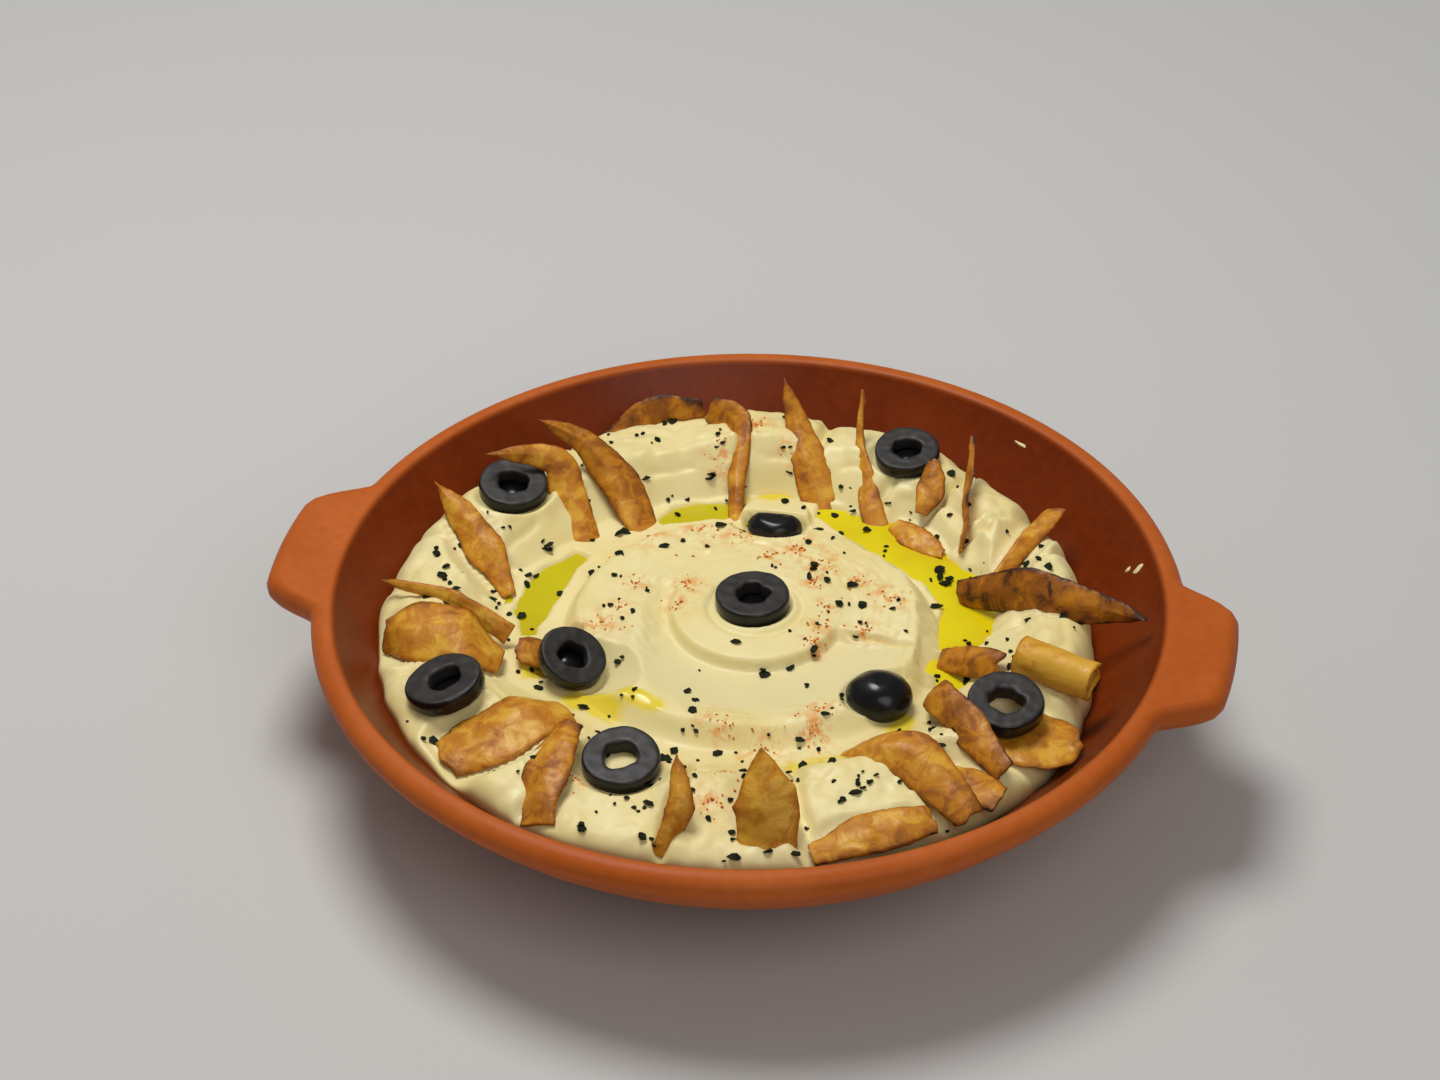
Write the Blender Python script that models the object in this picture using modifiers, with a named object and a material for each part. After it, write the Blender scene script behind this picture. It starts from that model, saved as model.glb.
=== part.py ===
"""Hummus served in a round, two-eared terracotta dish.

The dish stands on z = 0 with the centre of its base at the origin and its ears along X.
The hummus fills it to just under the rim: a raised bank all round, a moat with pools of
olive oil, and a spooned mound with a round button in the middle. Olive slices and shards
of fried flatbread are stuck in it. Every piece is a solid of its own.
Lengths are in millimetres in the constants below and become metres when a mesh is made.
"Level" is a height measured from the rim plane, so it is negative inside the dish.
"""
import math

import bmesh
import bpy
import numpy as np
from mathutils import Matrix, Vector

MM = 0.001
GAP = 0.3                      # clearance between pieces that touch

# ---------------------------------------------------------------- the dish
RIM_LEVEL = 42.0               # height of the rim above the table
TURN_STEPS = 44                # facets round the dish and round the hummus
BASE_RADIUS = 44.0
BASE_EDGE = 1.2                # rounding where the base meets the wall
LIP_RADIUS = 3.5               # rounding of the lip's outer edge
LIP_CENTRE = (96.5, 38.5)
WALL_OUT_RADIUS = 100.0        # arc of the outer wall
WALL_OUT_START = 38.0          # degrees below level where that arc leaves the lip
WALL_OUT_END = 75.0
WALL_IN_RADIUS = 93.3          # arc of the inner wall
WALL_IN_START = 37.7
WALL_IN_TOP = (94.3, 40.8)     # radius and height where the inner wall begins
INNER_LIP_TOP = 95.6           # radius at which the lip is flat

EAR_REACH = 111.5              # radius of an ear's outer edge
EAR_ROOT = 97.0                # radius at which an ear is buried in the wall
EAR_FULL_ANGLE = 7.5           # half angle of an ear's outer edge
EAR_END_ANGLE = 16.5           # half angle where its fillet meets the rim
EAR_THICKNESS = 8.0
EAR_TOP_DROP = 0.2             # an ear lies this far under the top of the lip
EAR_EDGE = 1.4                 # rounding of an ear's edges
EAR_STEPS = 7                  # outline points on each half of an ear

# ---------------------------------------------------------------- the hummus
FRONT = 281.5                  # direction of the dish's served side, in degrees
BUTTON_CENTRE = (1.4, 1.2)
BUTTON_RADIUS = 19.5
BUTTON_LEVEL = -4.0
BUTTON_CROWN = 0.0025          # how fast the button falls off, per millimetre
MOUND_LEVEL = -5.2
GROOVE_DEPTH = 2.6             # the spoon's groove round the button
GROOVE_INNER = 20.5
GROOVE_OUTER = (27.0, 42.0)    # radius of its outer edge where it begins and in front
GROOVE_LIP = 0.7               # ridge left along its outer edge
MOUND_RADIUS = 39.0
MOUND_FRONT = 4.5              # the mound reaches this much further in front
MOUND_BACK = 2.5               # and this much less behind
MOAT_LEVEL = -8.6
MOAT_DEPTH = 4.2               # the moat is this much deeper where it holds oil
BANK_FOOT = 47.0
BANK_CREST = 65.0
BANK_LEVEL = -3.6
BANK_FALL = 1.6                # the bank falls this much from its crest to the wall
BANK_OUTER = 86.0
EDGE_LEVEL = -12.8             # level at which the hummus meets the wall
EDGE_TILT = 3.0                # it stands higher towards the front left
EDGE_DIP = 2.2                 # and lower beside the right ear
RING_STEPS = (10.0, 19.3, 21.0, 26.0, 32.0, 37.5, 42.0, 47.0, 54.0, 62.0, 70.0)
EDGE_FRACTIONS = (0.5, 0.84, 1.0)   # rings between the last step and the wall
WALL_RINGS = 2                 # rings of the underside that follow the wall
WALL_GAP = 0.6                 # clearance from the wall's arc, so that the facets stay apart too

# ---------------------------------------------------------------- the toppings
OLIVE_RADIUS = 8.9
OLIVE_HOLE = 3.7
OLIVE_THICKNESS = 4.6
OLIVE_STEPS = 12
OLIVE_BULGE = 0.9              # the skin bulges this far between the two cut faces
OLIVE_FLARE = 0.4              # and the hole is this much wider at the faces
OLIVE_OVAL = 0.92              # an olive's end is this much narrower one way
CHIP_THICKNESS = 1.6
CHIP_SECTIONS = 5

OIL_LEVEL = -11.3
OIL_DEPTH = 1.6
OIL_STEPS = 9


# ---------------------------------------------------------------- helpers
def polar(angle, radius, level=0.0):
    """Point in millimetres from an angle in degrees, a radius and a level."""
    turn = math.radians(angle)
    return Vector((radius * math.cos(turn), radius * math.sin(turn), RIM_LEVEL + level))


def smooth(low, high, value):
    """Smooth step from 0 at low to 1 at high."""
    t = np.clip((value - low) / (high - low), 0.0, 1.0)
    return t * t * (3.0 - 2.0 * t)


def bell(value, middle, half_width):
    """Round hump of height 1 at the middle."""
    return np.exp(-((value - middle) / half_width) ** 2)


def turn_from(angle, middle):
    """Signed angle from the middle direction, in degrees within a half turn."""
    return (angle - middle + 180.0) % 360.0 - 180.0


def clear_scene():
    for obj in list(bpy.data.objects):
        bpy.data.objects.remove(obj, do_unlink=True)


def new_collection(name):
    collection = bpy.data.collections.new(name)
    bpy.context.scene.collection.children.link(collection)
    return collection


def new_material(name, colour, roughness, metallic=0.0):
    material = bpy.data.materials.new(name)
    material.use_nodes = True
    shader = material.node_tree.nodes["Principled BSDF"]
    shader.inputs["Base Color"].default_value = (*colour, 1.0)
    shader.inputs["Roughness"].default_value = roughness
    shader.inputs["Metallic"].default_value = metallic
    return material


def new_object(name, points, faces, material, collection):
    """Mesh object from points in millimetres; quads that bend are split by the faces given."""
    mesh = bpy.data.meshes.new(name)
    mesh.from_pydata([Vector(point) * MM for point in points], [], faces)
    mesh.validate()
    obj = bpy.data.objects.new(name, mesh)
    collection.objects.link(obj)
    if material:
        mesh.materials.append(material)
    shell = bmesh.new()
    shell.from_mesh(mesh)
    bmesh.ops.recalc_face_normals(shell, faces=shell.faces)
    bmesh.ops.triangulate(shell, faces=shell.faces)
    if shell.calc_volume(signed=True) < 0.0:
        bmesh.ops.reverse_faces(shell, faces=shell.faces)
    shell.to_mesh(mesh)
    shell.free()
    mesh.shade_smooth()
    mesh.set_sharp_from_angle(angle=math.radians(40.0))
    return obj


def as_cutter(obj):
    obj.display_type = "WIRE"
    obj.hide_render = True
    return obj


def boolean(obj, other, operation):
    modifier = obj.modifiers.new(other.name, "BOOLEAN")
    modifier.operation = operation
    modifier.solver = "EXACT"
    modifier.object = other


# ---------------------------------------------------------------- dish
def wall_in_centre():
    start = math.radians(WALL_IN_START)
    return (WALL_IN_TOP[0] - WALL_IN_RADIUS * math.cos(start),
            WALL_IN_TOP[1] + WALL_IN_RADIUS * math.sin(start))


def arc(centre, radius, first, last, steps):
    """Profile points from first to last degrees, measured downwards from level."""
    return [(centre[0] + radius * math.cos(math.radians(a)), centre[1] - radius * math.sin(math.radians(a)))
            for a in np.linspace(first, last, steps)]


def dish_profile():
    """Half section from the inside of the floor up over the lip and down to the base."""
    inner = arc(wall_in_centre(), WALL_IN_RADIUS, 90.0, WALL_IN_START, 7)
    lip = [(INNER_LIP_TOP, RIM_LEVEL)]
    lip += arc(LIP_CENTRE, LIP_RADIUS, -90.0, WALL_OUT_START, 5)
    join = lip[-1]
    start = math.radians(WALL_OUT_START)
    centre = (join[0] - WALL_OUT_RADIUS * math.cos(start), join[1] + WALL_OUT_RADIUS * math.sin(start))
    outer = arc(centre, WALL_OUT_RADIUS, WALL_OUT_START, WALL_OUT_END, 6)[1:]
    floor = (0.0, inner[0][1])
    base = [(BASE_RADIUS + BASE_EDGE, BASE_EDGE * 0.4), (BASE_RADIUS, 0.0), (0.0, 0.0)]
    return [floor] + inner + lip + outer + base


def ear_outline():
    """Closed outline of the ear at +X: an outer edge with round shoulders and soft fillets."""
    angles = np.linspace(-EAR_END_ANGLE, EAR_END_ANGLE, 2 * EAR_STEPS + 1)
    fall = smooth(EAR_FULL_ANGLE, EAR_END_ANGLE, np.abs(angles))
    radii = EAR_REACH - (EAR_REACH - EAR_ROOT) * fall
    outer = [(r * math.cos(math.radians(a)), r * math.sin(math.radians(a))) for a, r in zip(angles, radii)]
    inner_angles = np.linspace(EAR_END_ANGLE, -EAR_END_ANGLE, 7)[1:-1]
    return outer + [(EAR_ROOT * math.cos(math.radians(a)), EAR_ROOT * math.sin(math.radians(a)))
                    for a in inner_angles]


def make_ear(name, turn, collection):
    """Flat ear with rounded edges, buried in the wall at its root."""
    top = RIM_LEVEL - EAR_TOP_DROP
    outline = ear_outline()
    count = len(outline)
    points = [(x, y, top) for x, y in outline] + [(x, y, top - EAR_THICKNESS) for x, y in outline]
    faces = [tuple(range(count)), tuple(range(2 * count - 1, count - 1, -1))]
    faces += [(i, i + count, (i + 1) % count + count, (i + 1) % count) for i in range(count)]
    ear = new_object(name, points, faces, None, collection)
    ear.rotation_euler.z = math.radians(turn)
    edge = ear.modifiers.new("edge", "BEVEL")
    edge.width = EAR_EDGE * MM
    edge.segments = 1
    edge.limit_method = "ANGLE"
    edge.angle_limit = math.radians(60.0)
    return ear


def make_dish(parts, cutters, clay):
    profile = dish_profile()
    mesh = bpy.data.meshes.new("dish")
    edges = [(i, i + 1) for i in range(len(profile) - 1)]
    mesh.from_pydata([(r * MM, 0.0, z * MM) for r, z in profile], edges, [])
    dish = bpy.data.objects.new("dish", mesh)
    parts.objects.link(dish)
    mesh.materials.append(clay)
    screw = dish.modifiers.new("turn", "SCREW")
    screw.steps = TURN_STEPS
    screw.render_steps = TURN_STEPS
    screw.use_merge_vertices = True
    screw.merge_threshold = 1e-5
    screw.use_smooth_shade = True
    for side, turn in (("right", 0.0), ("left", 180.0)):
        boolean(dish, as_cutter(make_ear(f"ear_{side}", turn, cutters)), "UNION")
    return dish


# ---------------------------------------------------------------- hummus
def surface_level(x, y):
    """Level of the hummus at a place, before the wall rounds it off."""
    angle = np.degrees(np.arctan2(y, x)) % 360.0
    radius = np.hypot(x, y)
    from_button = np.hypot(x - BUTTON_CENTRE[0], y - BUTTON_CENTRE[1])
    front = 0.5 + 0.5 * np.cos(np.radians(angle - FRONT))

    # the spoon's groove runs round the button from the crease on the right to the left
    groove = smooth(140.0, 235.0, angle) * (1.0 - smooth(351.0, 355.0, angle))
    groove_edge = GROOVE_OUTER[0] + (GROOVE_OUTER[1] - GROOVE_OUTER[0]) * smooth(195.0, 265.0, angle)
    trough = groove * (1.0 - smooth(GROOVE_INNER, groove_edge, from_button))
    button = 1.0 - smooth(BUTTON_RADIUS - 0.6, BUTTON_RADIUS + 1.0, from_button)
    lip = GROOVE_LIP * groove * bell(from_button, groove_edge, 3.5)
    mound_top = MOUND_LEVEL - GROOVE_DEPTH * trough + lip
    button_top = BUTTON_LEVEL - BUTTON_CROWN * from_button ** 2
    mound_top = mound_top * (1.0 - button) + button_top * button

    # the moat is deep behind, on the right and at the left crescent, and shallow in front
    deep = np.maximum(1.0 - front ** 0.8, bell(turn_from(angle, 195.0), 0.0, 26.0))
    moat = MOAT_LEVEL - MOAT_DEPTH * np.clip(deep * 1.5, 0.0, 1.0)
    mound_edge = MOUND_RADIUS + MOUND_FRONT * front - MOUND_BACK * bell(turn_from(angle, 95.0), 0.0, 40.0)
    mound = mound_top + (moat - mound_top) * smooth(mound_edge - 2.5, mound_edge + 4.0, radius)

    # the bank: a crest that wanders, with a long inner slope
    crest = BANK_CREST + 3.0 * np.sin(np.radians(2.0 * angle + 40.0))
    crest = crest + 6.0 * bell(turn_from(angle, 178.0), 0.0, 35.0)
    waves = 0.54 * np.sin(np.radians(5.0 * angle)) + 0.5 * np.sin(np.radians(11.0 * angle + 70.0))
    crest_level = BANK_LEVEL - 1.2 * front + waves
    foot = BANK_FOOT + 2.5 * front + 4.0 * bell(turn_from(angle, 185.0), 0.0, 30.0)
    bank = moat + (crest_level - moat) * smooth(foot, crest, radius)
    bank = bank - BANK_FALL * smooth(crest, BANK_OUTER, radius)
    return np.where(radius < mound_edge + 4.0, mound, bank)


def edge_level(angle):
    """Level at which the hummus meets the wall."""
    tilt = EDGE_TILT * np.cos(np.radians(angle - 250.0))
    return EDGE_LEVEL + tilt - EDGE_DIP * bell(turn_from(angle, 8.0), 0.0, 40.0)


def hummus_points():
    """Rings of points from the middle to the wall, then down the wall to the floor."""
    angles = np.arange(TURN_STEPS) * 360.0 / TURN_STEPS
    turn = np.radians(angles)
    edge = edge_level(angles)
    centre = wall_in_centre()
    skin = WALL_IN_RADIUS - WALL_GAP
    edge_turn = np.degrees(np.arcsin((centre[1] - RIM_LEVEL - edge) / skin))
    edge_radius = centre[0] + skin * np.cos(np.radians(edge_turn))
    rings = []
    for radius in RING_STEPS:
        level = surface_level(radius * np.cos(turn), radius * np.sin(turn))
        rings.append((np.full(TURN_STEPS, radius), RIM_LEVEL + level))
    last = RING_STEPS[-1]
    for fraction in EDGE_FRACTIONS:
        radius = last + (edge_radius - last) * fraction
        level = surface_level(radius * np.cos(turn), radius * np.sin(turn))
        level = edge + (level - edge) * math.sqrt(1.0 - fraction ** 3)
        rings.append((radius, RIM_LEVEL + level))
    for step in range(1, WALL_RINGS + 1):
        down = np.radians(edge_turn + (90.0 - edge_turn) * step / WALL_RINGS)
        rings.append((centre[0] + skin * np.cos(down), centre[1] - skin * np.sin(down)))
    middle = RIM_LEVEL + float(surface_level(np.array(0.0), np.array(0.0)))
    points = [(0.0, 0.0, middle)]
    for radius, height in rings:
        points += list(zip(radius * np.cos(turn), radius * np.sin(turn), height))
    points.append((0.0, 0.0, float(rings[-1][1][0])))
    return points, len(rings)


def make_hummus(parts, paste):
    points, rings = hummus_points()
    last = len(points) - 1
    faces = []
    for i in range(TURN_STEPS):
        j = (i + 1) % TURN_STEPS
        faces.append((0, 1 + i, 1 + j))
        for ring in range(rings - 1):
            a = 1 + ring * TURN_STEPS
            b = a + TURN_STEPS
            faces.append((a + i, b + i, b + j, a + j))
        outer = 1 + (rings - 1) * TURN_STEPS
        faces.append((last, outer + j, outer + i))
    return new_object("hummus", points, faces, paste, parts)


# ---------------------------------------------------------------- oil
# name, then (angle, inner radius, outer radius) where the pool begins, is widest and ends
OIL_POOLS = {
    "oil_right": ((78.0, 46.0, 49.0), (60.0, 42.5, 51.0), (44.0, 43.5, 54.5), (30.0, 46.0, 55.0),
                  (26.0, 46.5, 53.0)),
    "oil_right_front": ((15.0, 46.5, 52.0), (6.0, 44.5, 52.0), (-4.0, 44.0, 50.0), (-15.0, 46.5, 48.0)),
    "oil_left": ((158.0, 48.5, 49.5), (170.0, 47.0, 53.0), (184.0, 47.5, 53.5), (193.0, 49.0, 51.0)),
    "oil_back": ((126.0, 46.5, 48.0), (118.0, 44.5, 50.0), (110.0, 44.0, 49.0), (104.0, 45.0, 46.5)),
}


def pool_outline(stations, grow):
    """Smooth closed strip through the stations, grown sideways by a clearance."""
    table = np.array(stations)
    along = np.linspace(0.0, len(stations) - 1.0, OIL_STEPS)
    index = np.arange(len(stations))
    angle = np.interp(along, index, table[:, 0])
    inner = np.interp(along, index, table[:, 1]) - grow
    outer = np.interp(along, index, table[:, 2]) + grow
    end_turn = np.degrees(grow / inner.mean()) * np.sign(table[-1, 0] - table[0, 0])
    angle[0] -= end_turn
    angle[-1] += end_turn
    return angle, inner, outer


def make_pool(name, stations, material, collection, grow=0.0):
    angle, inner, outer = pool_outline(stations, grow)
    top = OIL_LEVEL + (OIL_DEPTH if grow else 0.0)
    bottom = OIL_LEVEL - OIL_DEPTH - grow
    points, faces = [], []
    for a, low, high in zip(angle, inner, outer):
        points += [polar(a, low, top), polar(a, high, top), polar(a, high, bottom), polar(a, low, bottom)]
    for i in range(OIL_STEPS - 1):
        for side in range(4):
            other = (side + 1) % 4
            faces.append((4 * i + side, 4 * i + other, 4 * i + 4 + other, 4 * i + 4 + side))
    end = 4 * (OIL_STEPS - 1)
    faces += [(3, 2, 1, 0), (end, end + 1, end + 2, end + 3)]
    return new_object(name, points, faces, material, collection)


# ---------------------------------------------------------------- olives
# name: angle, radius, level of the slice's middle, tilt in degrees, direction it tilts down to, size
OLIVE_SLICES = {
    "olive_centre": (80.0, 2.2, -3.6, 0.0, 0.0, 1.0),
    "olive_back_left": (153.0, 71.5, -2.2, 10.0, 300.0, 0.94),
    "olive_back_right": (68.0, 68.6, -1.6, 8.0, 250.0, 0.90),
    "olive_left": (214.5, 43.5, -5.6, 26.0, 330.0, 0.90),
    "olive_front_left": (216, 74.2, -2.2, 14.0, 190.0, 1.02),
    "olive_front": (254.5, 61.4, -4.2, 8.0, 280.0, 1.0),
    "olive_right": (336.8, 68.6, -1.2, 8.0, 290.0, 1.0),
}
# the rounded ends of olives: angle, radius, level, half width, half height
OLIVE_ENDS = {
    "olive_end_front": (326.0, 41.5, -6.6, 7.6, 5.4),
    "olive_end_back": (93.0, 42.0, -11.6, 6.6, 4.2),
}


def slice_profile(grow):
    """Section of a ring slice, run down its outer side and back up through the hole."""
    half = OLIVE_THICKNESS / 2.0 + grow
    outer = OLIVE_RADIUS + grow
    hole = OLIVE_HOLE - grow
    return [(outer - OLIVE_BULGE, half), (outer, 0.0), (outer - OLIVE_BULGE, -half),
            (hole + OLIVE_FLARE, -half), (hole, 0.0), (hole + OLIVE_FLARE, half)]


def ring_mesh(profile, steps):
    """Points and faces of a closed section turned round the vertical."""
    points, faces = [], []
    count = len(profile)
    for i in range(steps):
        turn = 2.0 * math.pi * i / steps
        points += [(r * math.cos(turn), r * math.sin(turn), z) for r, z in profile]
        j = (i + 1) % steps
        for k in range(count):
            n = (k + 1) % count
            faces.append((i * count + k, i * count + n, j * count + n, j * count + k))
    return points, faces


def make_slice(name, place, material, collection, grow=0.0):
    angle, radius, level, tilt, towards, size = place
    points, faces = ring_mesh(slice_profile(grow / size), OLIVE_STEPS)
    lean = Vector((math.cos(math.radians(towards)), math.sin(math.radians(towards)), 0.0))
    hinge = Vector((0.0, 0.0, 1.0)).cross(lean)
    pose = Matrix.Translation(polar(angle, radius, level)) @ Matrix.Rotation(math.radians(tilt), 4, hinge)
    pose = pose @ Matrix.Scale(size, 4)
    return new_object(name, [pose @ Vector(point) for point in points], faces, material, collection)


def make_olive_end(name, place, material, collection, grow=0.0):
    """The rounded end of an olive, cut side down."""
    angle, radius, level, half_width, half_height = place
    shell = bmesh.new()
    bmesh.ops.create_uvsphere(shell, u_segments=OLIVE_STEPS, v_segments=OLIVE_STEPS // 2, radius=1.0)
    centre = polar(angle, radius, level)
    size = Vector((half_width + grow, half_width * OLIVE_OVAL + grow, half_height + grow))
    points = [centre + Vector((v.co.x * size.x, v.co.y * size.y, v.co.z * size.z)) for v in shell.verts]
    faces = [[v.index for v in face.verts] for face in shell.faces]
    shell.free()
    return new_object(name, points, faces, material, collection)


# ---------------------------------------------------------------- chips
# name: path from foot to tip as (angle, radius, level), then widths along it, direction of the
# width at foot and at tip as (heading, tilt) in degrees, and how far the middle bows out of plane
CHIPS = {
    "chip_far_left": (
        ((179, 57, -10), (169, 68, -3.5), (164, 83, 3)),
        (3, 8, 1.6), (60, 30), (80, 50), 1.2),
    "chip_back_left_arch": (
        ((150, 50, -12), (146, 60, -3.5), (145, 67, 3), (154.5, 78, 5.5)),
        (6, 8, 7, 1.5), (40, 10), (80, 60), 1.0),
    "chip_back_left_blade": (
        ((134, 44, -12), (134.5, 55, -4.5), (138, 66, 4.5), (144, 74, 10)),
        (7, 10, 6, 1.6), (40, 0), (70, 50), 1.4),
    "chip_back_low": (
        ((128, 79, -8), (119, 77.5, -3), (110, 75, -1)),
        (4, 9, 6), (120, 80), (110, 75), 0.6),
    "chip_back_arch": (
        ((106, 41, -12), (104.5, 54, -5), (103.5, 66, 0.5), (109, 71, 2.0)),
        (4, 5, 8, 7), (20, 20), (30, 60), 1.4),
    "chip_back_blade": (
        ((81, 48.5, -13), (86.5, 57, -5), (91, 65, 0), (95, 75, 8)),
        (7, 9.5, 7, 1.4), (5, 0), (10, 0), 1.2),
    "chip_back_twist": (
        ((64, 50, -12), (73, 58, -5.5), (78, 66, 0), (79.5, 74, 9)),
        (6, 5, 2.6, 1.4), (20, 10), (60, 70), 0.6),
    "chip_oil_edge": (
        ((61, 53, -10.2), (55, 52.2, -9.8), (49, 52.6, -9.8), (43.5, 53.6, -10.2)),
        (4, 6.5, 6, 2.5), (57, 20), (50, 20), 0.5),
    "chip_back_right_blade": (
        ((40, 57, -9), (49, 65, -1.5), (57, 76, 5.5)),
        (5, 5.5, 1.5), (100, 60), (60, 75), 0.8),
    "chip_back_right_small": (
        ((55.5, 56.5, -6.5), (57.5, 61.5, -2.5), (60.5, 67, 0.5)),
        (3, 7, 3), (10, 10), (10, 20), 0.8),
    "chip_right_fold": (
        ((22, 54, -11), (31, 66, -5), (38.5, 79.5, -4.0)),
        (3, 5.5, 9), (330, 0), (350, 30), 2.4),
    "chip_right_long": (
        ((25, 50, -9), (13, 63, -1.0), (8, 78, -0.5), (5, 90.5, 0)),
        (6, 12, 8, 1.6), (95, 65), (95, 75), 1.6),
    "chip_right_under": (
        ((356, 45, -10), (352, 54, -5.5), (350, 60.5, -3.5)),
        (5, 8, 6), (90, 40), (80, 40), 1.2),
    "chip_right_flat": (
        ((331, 70, -6.4), (337, 79, -6.6), (341, 83.5, -6.8)),
        (13, 19, 9), (60, 0), (60, 0), 1.0),
    "chip_right_dark": (
        ((334.5, 50.5, -7), (330, 54, -1), (326.5, 66, -0.5), (324.5, 81, -3.5)),
        (2, 5.5, 6, 5), (50, 40), (55, 40), 1.0),
    "chip_right_layer": (
        ((319.5, 70, -6.5), (319, 78, -4.8), (320.5, 85.5, -5.0)),
        (4, 9, 7), (60, 10), (60, 10), 1.0),
    "chip_front_right": (
        ((303, 55, -7.5), (307, 60, -2), (313, 68, 0.5), (314.5, 87, -5.0)),
        (6, 11, 12, 7), (60, 30), (50, 20), 2.0),
    "chip_front_rim": (
        ((290.5, 84, -6.8), (300, 83.5, -4.2), (309.5, 84, -4.4)),
        (5, 10, 7), (290, -15), (310, -15), 1.2),
    "chip_front_shard": (
        ((284, 82.5, -9), (284.5, 77, 2), (283.5, 70, 12)),
        (13, 14, 2), (11, 0), (11, 0), 2.0),
    "chip_front_blade": (
        ((268.3, 84, -8), (270.3, 78, 1), (268.5, 69, 8)),
        (4, 6, 1.5), (40, 25), (40, 25), 1.0),
    "chip_front_left": (
        ((249.5, 86, -7), (246, 74, -1.5), (240.6, 60, -1.2)),
        (8, 10.5, 6), (330, 5), (350, 10), 1.6),
    "chip_left_large": (
        ((207, 58, -7.5), (203.5, 66, -2), (199, 77, -3), (196, 83.5, -7.0)),
        (9, 14, 15, 8), (110, 10), (110, 15), 1.8),
    "chip_left_long": (
        ((198, 55, -7.5), (192, 68, -1.5), (187.5, 84.5, -1.0)),
        (5, 4, 1.6), (90, 60), (90, 80), 0.6),
    "chip_left_base": (
        ((206, 45, -12), (205, 50, -8.5), (203.5, 54, -7.2)),
        (5, 7, 4), (110, 20), (100, 20), 0.8),
    "chip_left_under": (
        ((233, 54, -6.5), (231, 63, -3.0), (229.5, 74, -5.2), (228, 83.5, -8.0)),
        (11, 16, 17, 12), (320, 0), (320, 0), 1.6),
}
# pieces that are hollowed where another one stands in them
STANDS_IN = {
    "oil_right": ("chip_back_twist", "chip_oil_edge", "chip_right_long"),
    "oil_right_front": ("chip_right_long", "chip_right_under"),
    "oil_back": ("chip_back_arch",),
}


def along(values, t):
    """Catmull-Rom curve through evenly spaced values."""
    table = np.asarray(values, float)
    ends = np.vstack([2.0 * table[0] - table[1], table, 2.0 * table[-1] - table[-2]])
    place = t * (len(table) - 1)
    index = min(int(place), len(table) - 2)
    u = place - index
    a, b, c, d = ends[index:index + 4]
    return 0.5 * (2.0 * b + (c - a) * u + (2.0 * a - 5.0 * b + 4.0 * c - d) * u ** 2
                  + (3.0 * b - a - 3.0 * c + d) * u ** 3)


def heading(direction):
    """Unit vector from a heading and a tilt in degrees."""
    turn, tilt = (math.radians(value) for value in direction)
    return Vector((math.cos(turn) * math.cos(tilt), math.sin(turn) * math.cos(tilt), math.sin(tilt)))


def chip_frames(shape, sections):
    """Centre, forward, side and upper face direction of each section from foot to tip."""
    path, _, side_foot, side_tip, _ = shape
    points_on_path = [polar(*place) for place in path]
    frames = []
    for i in range(sections):
        t = i / (sections - 1.0)
        centre = Vector(along(points_on_path, t))
        ahead = Vector(along(points_on_path, min(t + 0.05, 1.0)))
        behind = Vector(along(points_on_path, max(t - 0.05, 0.0)))
        forward = (ahead - behind).normalized()
        side = heading(side_foot).lerp(heading(side_tip), t)
        side = (side - forward * side.dot(forward)).normalized()
        frames.append((t, centre, forward, side, forward.cross(side)))
    upper = 1.0 if frames[sections // 2][4].z > 0.0 else -1.0
    return [(t, centre, forward, side, face * upper) for t, centre, forward, side, face in frames]


def make_chip(name, shape, material, collection, grow=0.0):
    """A bowed shard: six-sided sections along its path, three points on each face."""
    widths, bow = shape[1], shape[4]
    half = CHIP_THICKNESS / 2.0 + grow
    last = CHIP_SECTIONS - 1
    points, faces = [], []
    for i, (t, centre, forward, side, face) in enumerate(chip_frames(shape, CHIP_SECTIONS)):
        centre = centre + forward * (-grow if i == 0 else grow if i == last else 0.0)
        width = float(along([[w] for w in widths], t)[0]) / 2.0 + grow
        bowed = bow * math.sin(math.pi * (0.15 + 0.7 * t))
        for across, sign in ((-1, 1), (0, 1), (1, 1), (1, -1), (0, -1), (-1, -1)):
            lift = bowed * (0.5 - abs(across))
            points.append(centre + side * width * across + face * (lift + sign * half))
    for i in range(last):
        for k in range(6):
            n = (k + 1) % 6
            faces.append((6 * i + k, 6 * i + n, 6 * i + 6 + n, 6 * i + 6 + k))
    for first in (0, 6 * last):
        faces += [(first, first + 1, first + 4, first + 5), (first + 1, first + 2, first + 3, first + 4)]
    return new_object(name, points, faces, material, collection)


# the rolled chip: a tube that lies on the right-hand bank
ROLL_NAME = "chip_right_roll"
ROLL_ENDS = ((349.5, 64.0, 0.2), (351.5, 83.0, -1.2))
ROLL_RADIUS = 5.0
ROLL_STEPS = 12


def make_roll(name, material, collection, grow=0.0):
    """A rolled-up chip: a tube along the line between its two ends."""
    start, end = (polar(*place) for place in ROLL_ENDS)
    axis = (end - start).normalized()
    middle = (start + end) / 2.0
    half = (end - start).length / 2.0 + grow
    inner = ROLL_RADIUS - CHIP_THICKNESS - grow
    profile = [(ROLL_RADIUS + grow, half), (ROLL_RADIUS + grow, -half), (inner, -half), (inner, half)]
    points, faces = ring_mesh(profile, ROLL_STEPS)
    pose = Matrix.Translation(middle) @ axis.to_track_quat("Z", "Y").to_matrix().to_4x4()
    return new_object(name, [pose @ Vector(point) for point in points], faces, material, collection)


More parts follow.
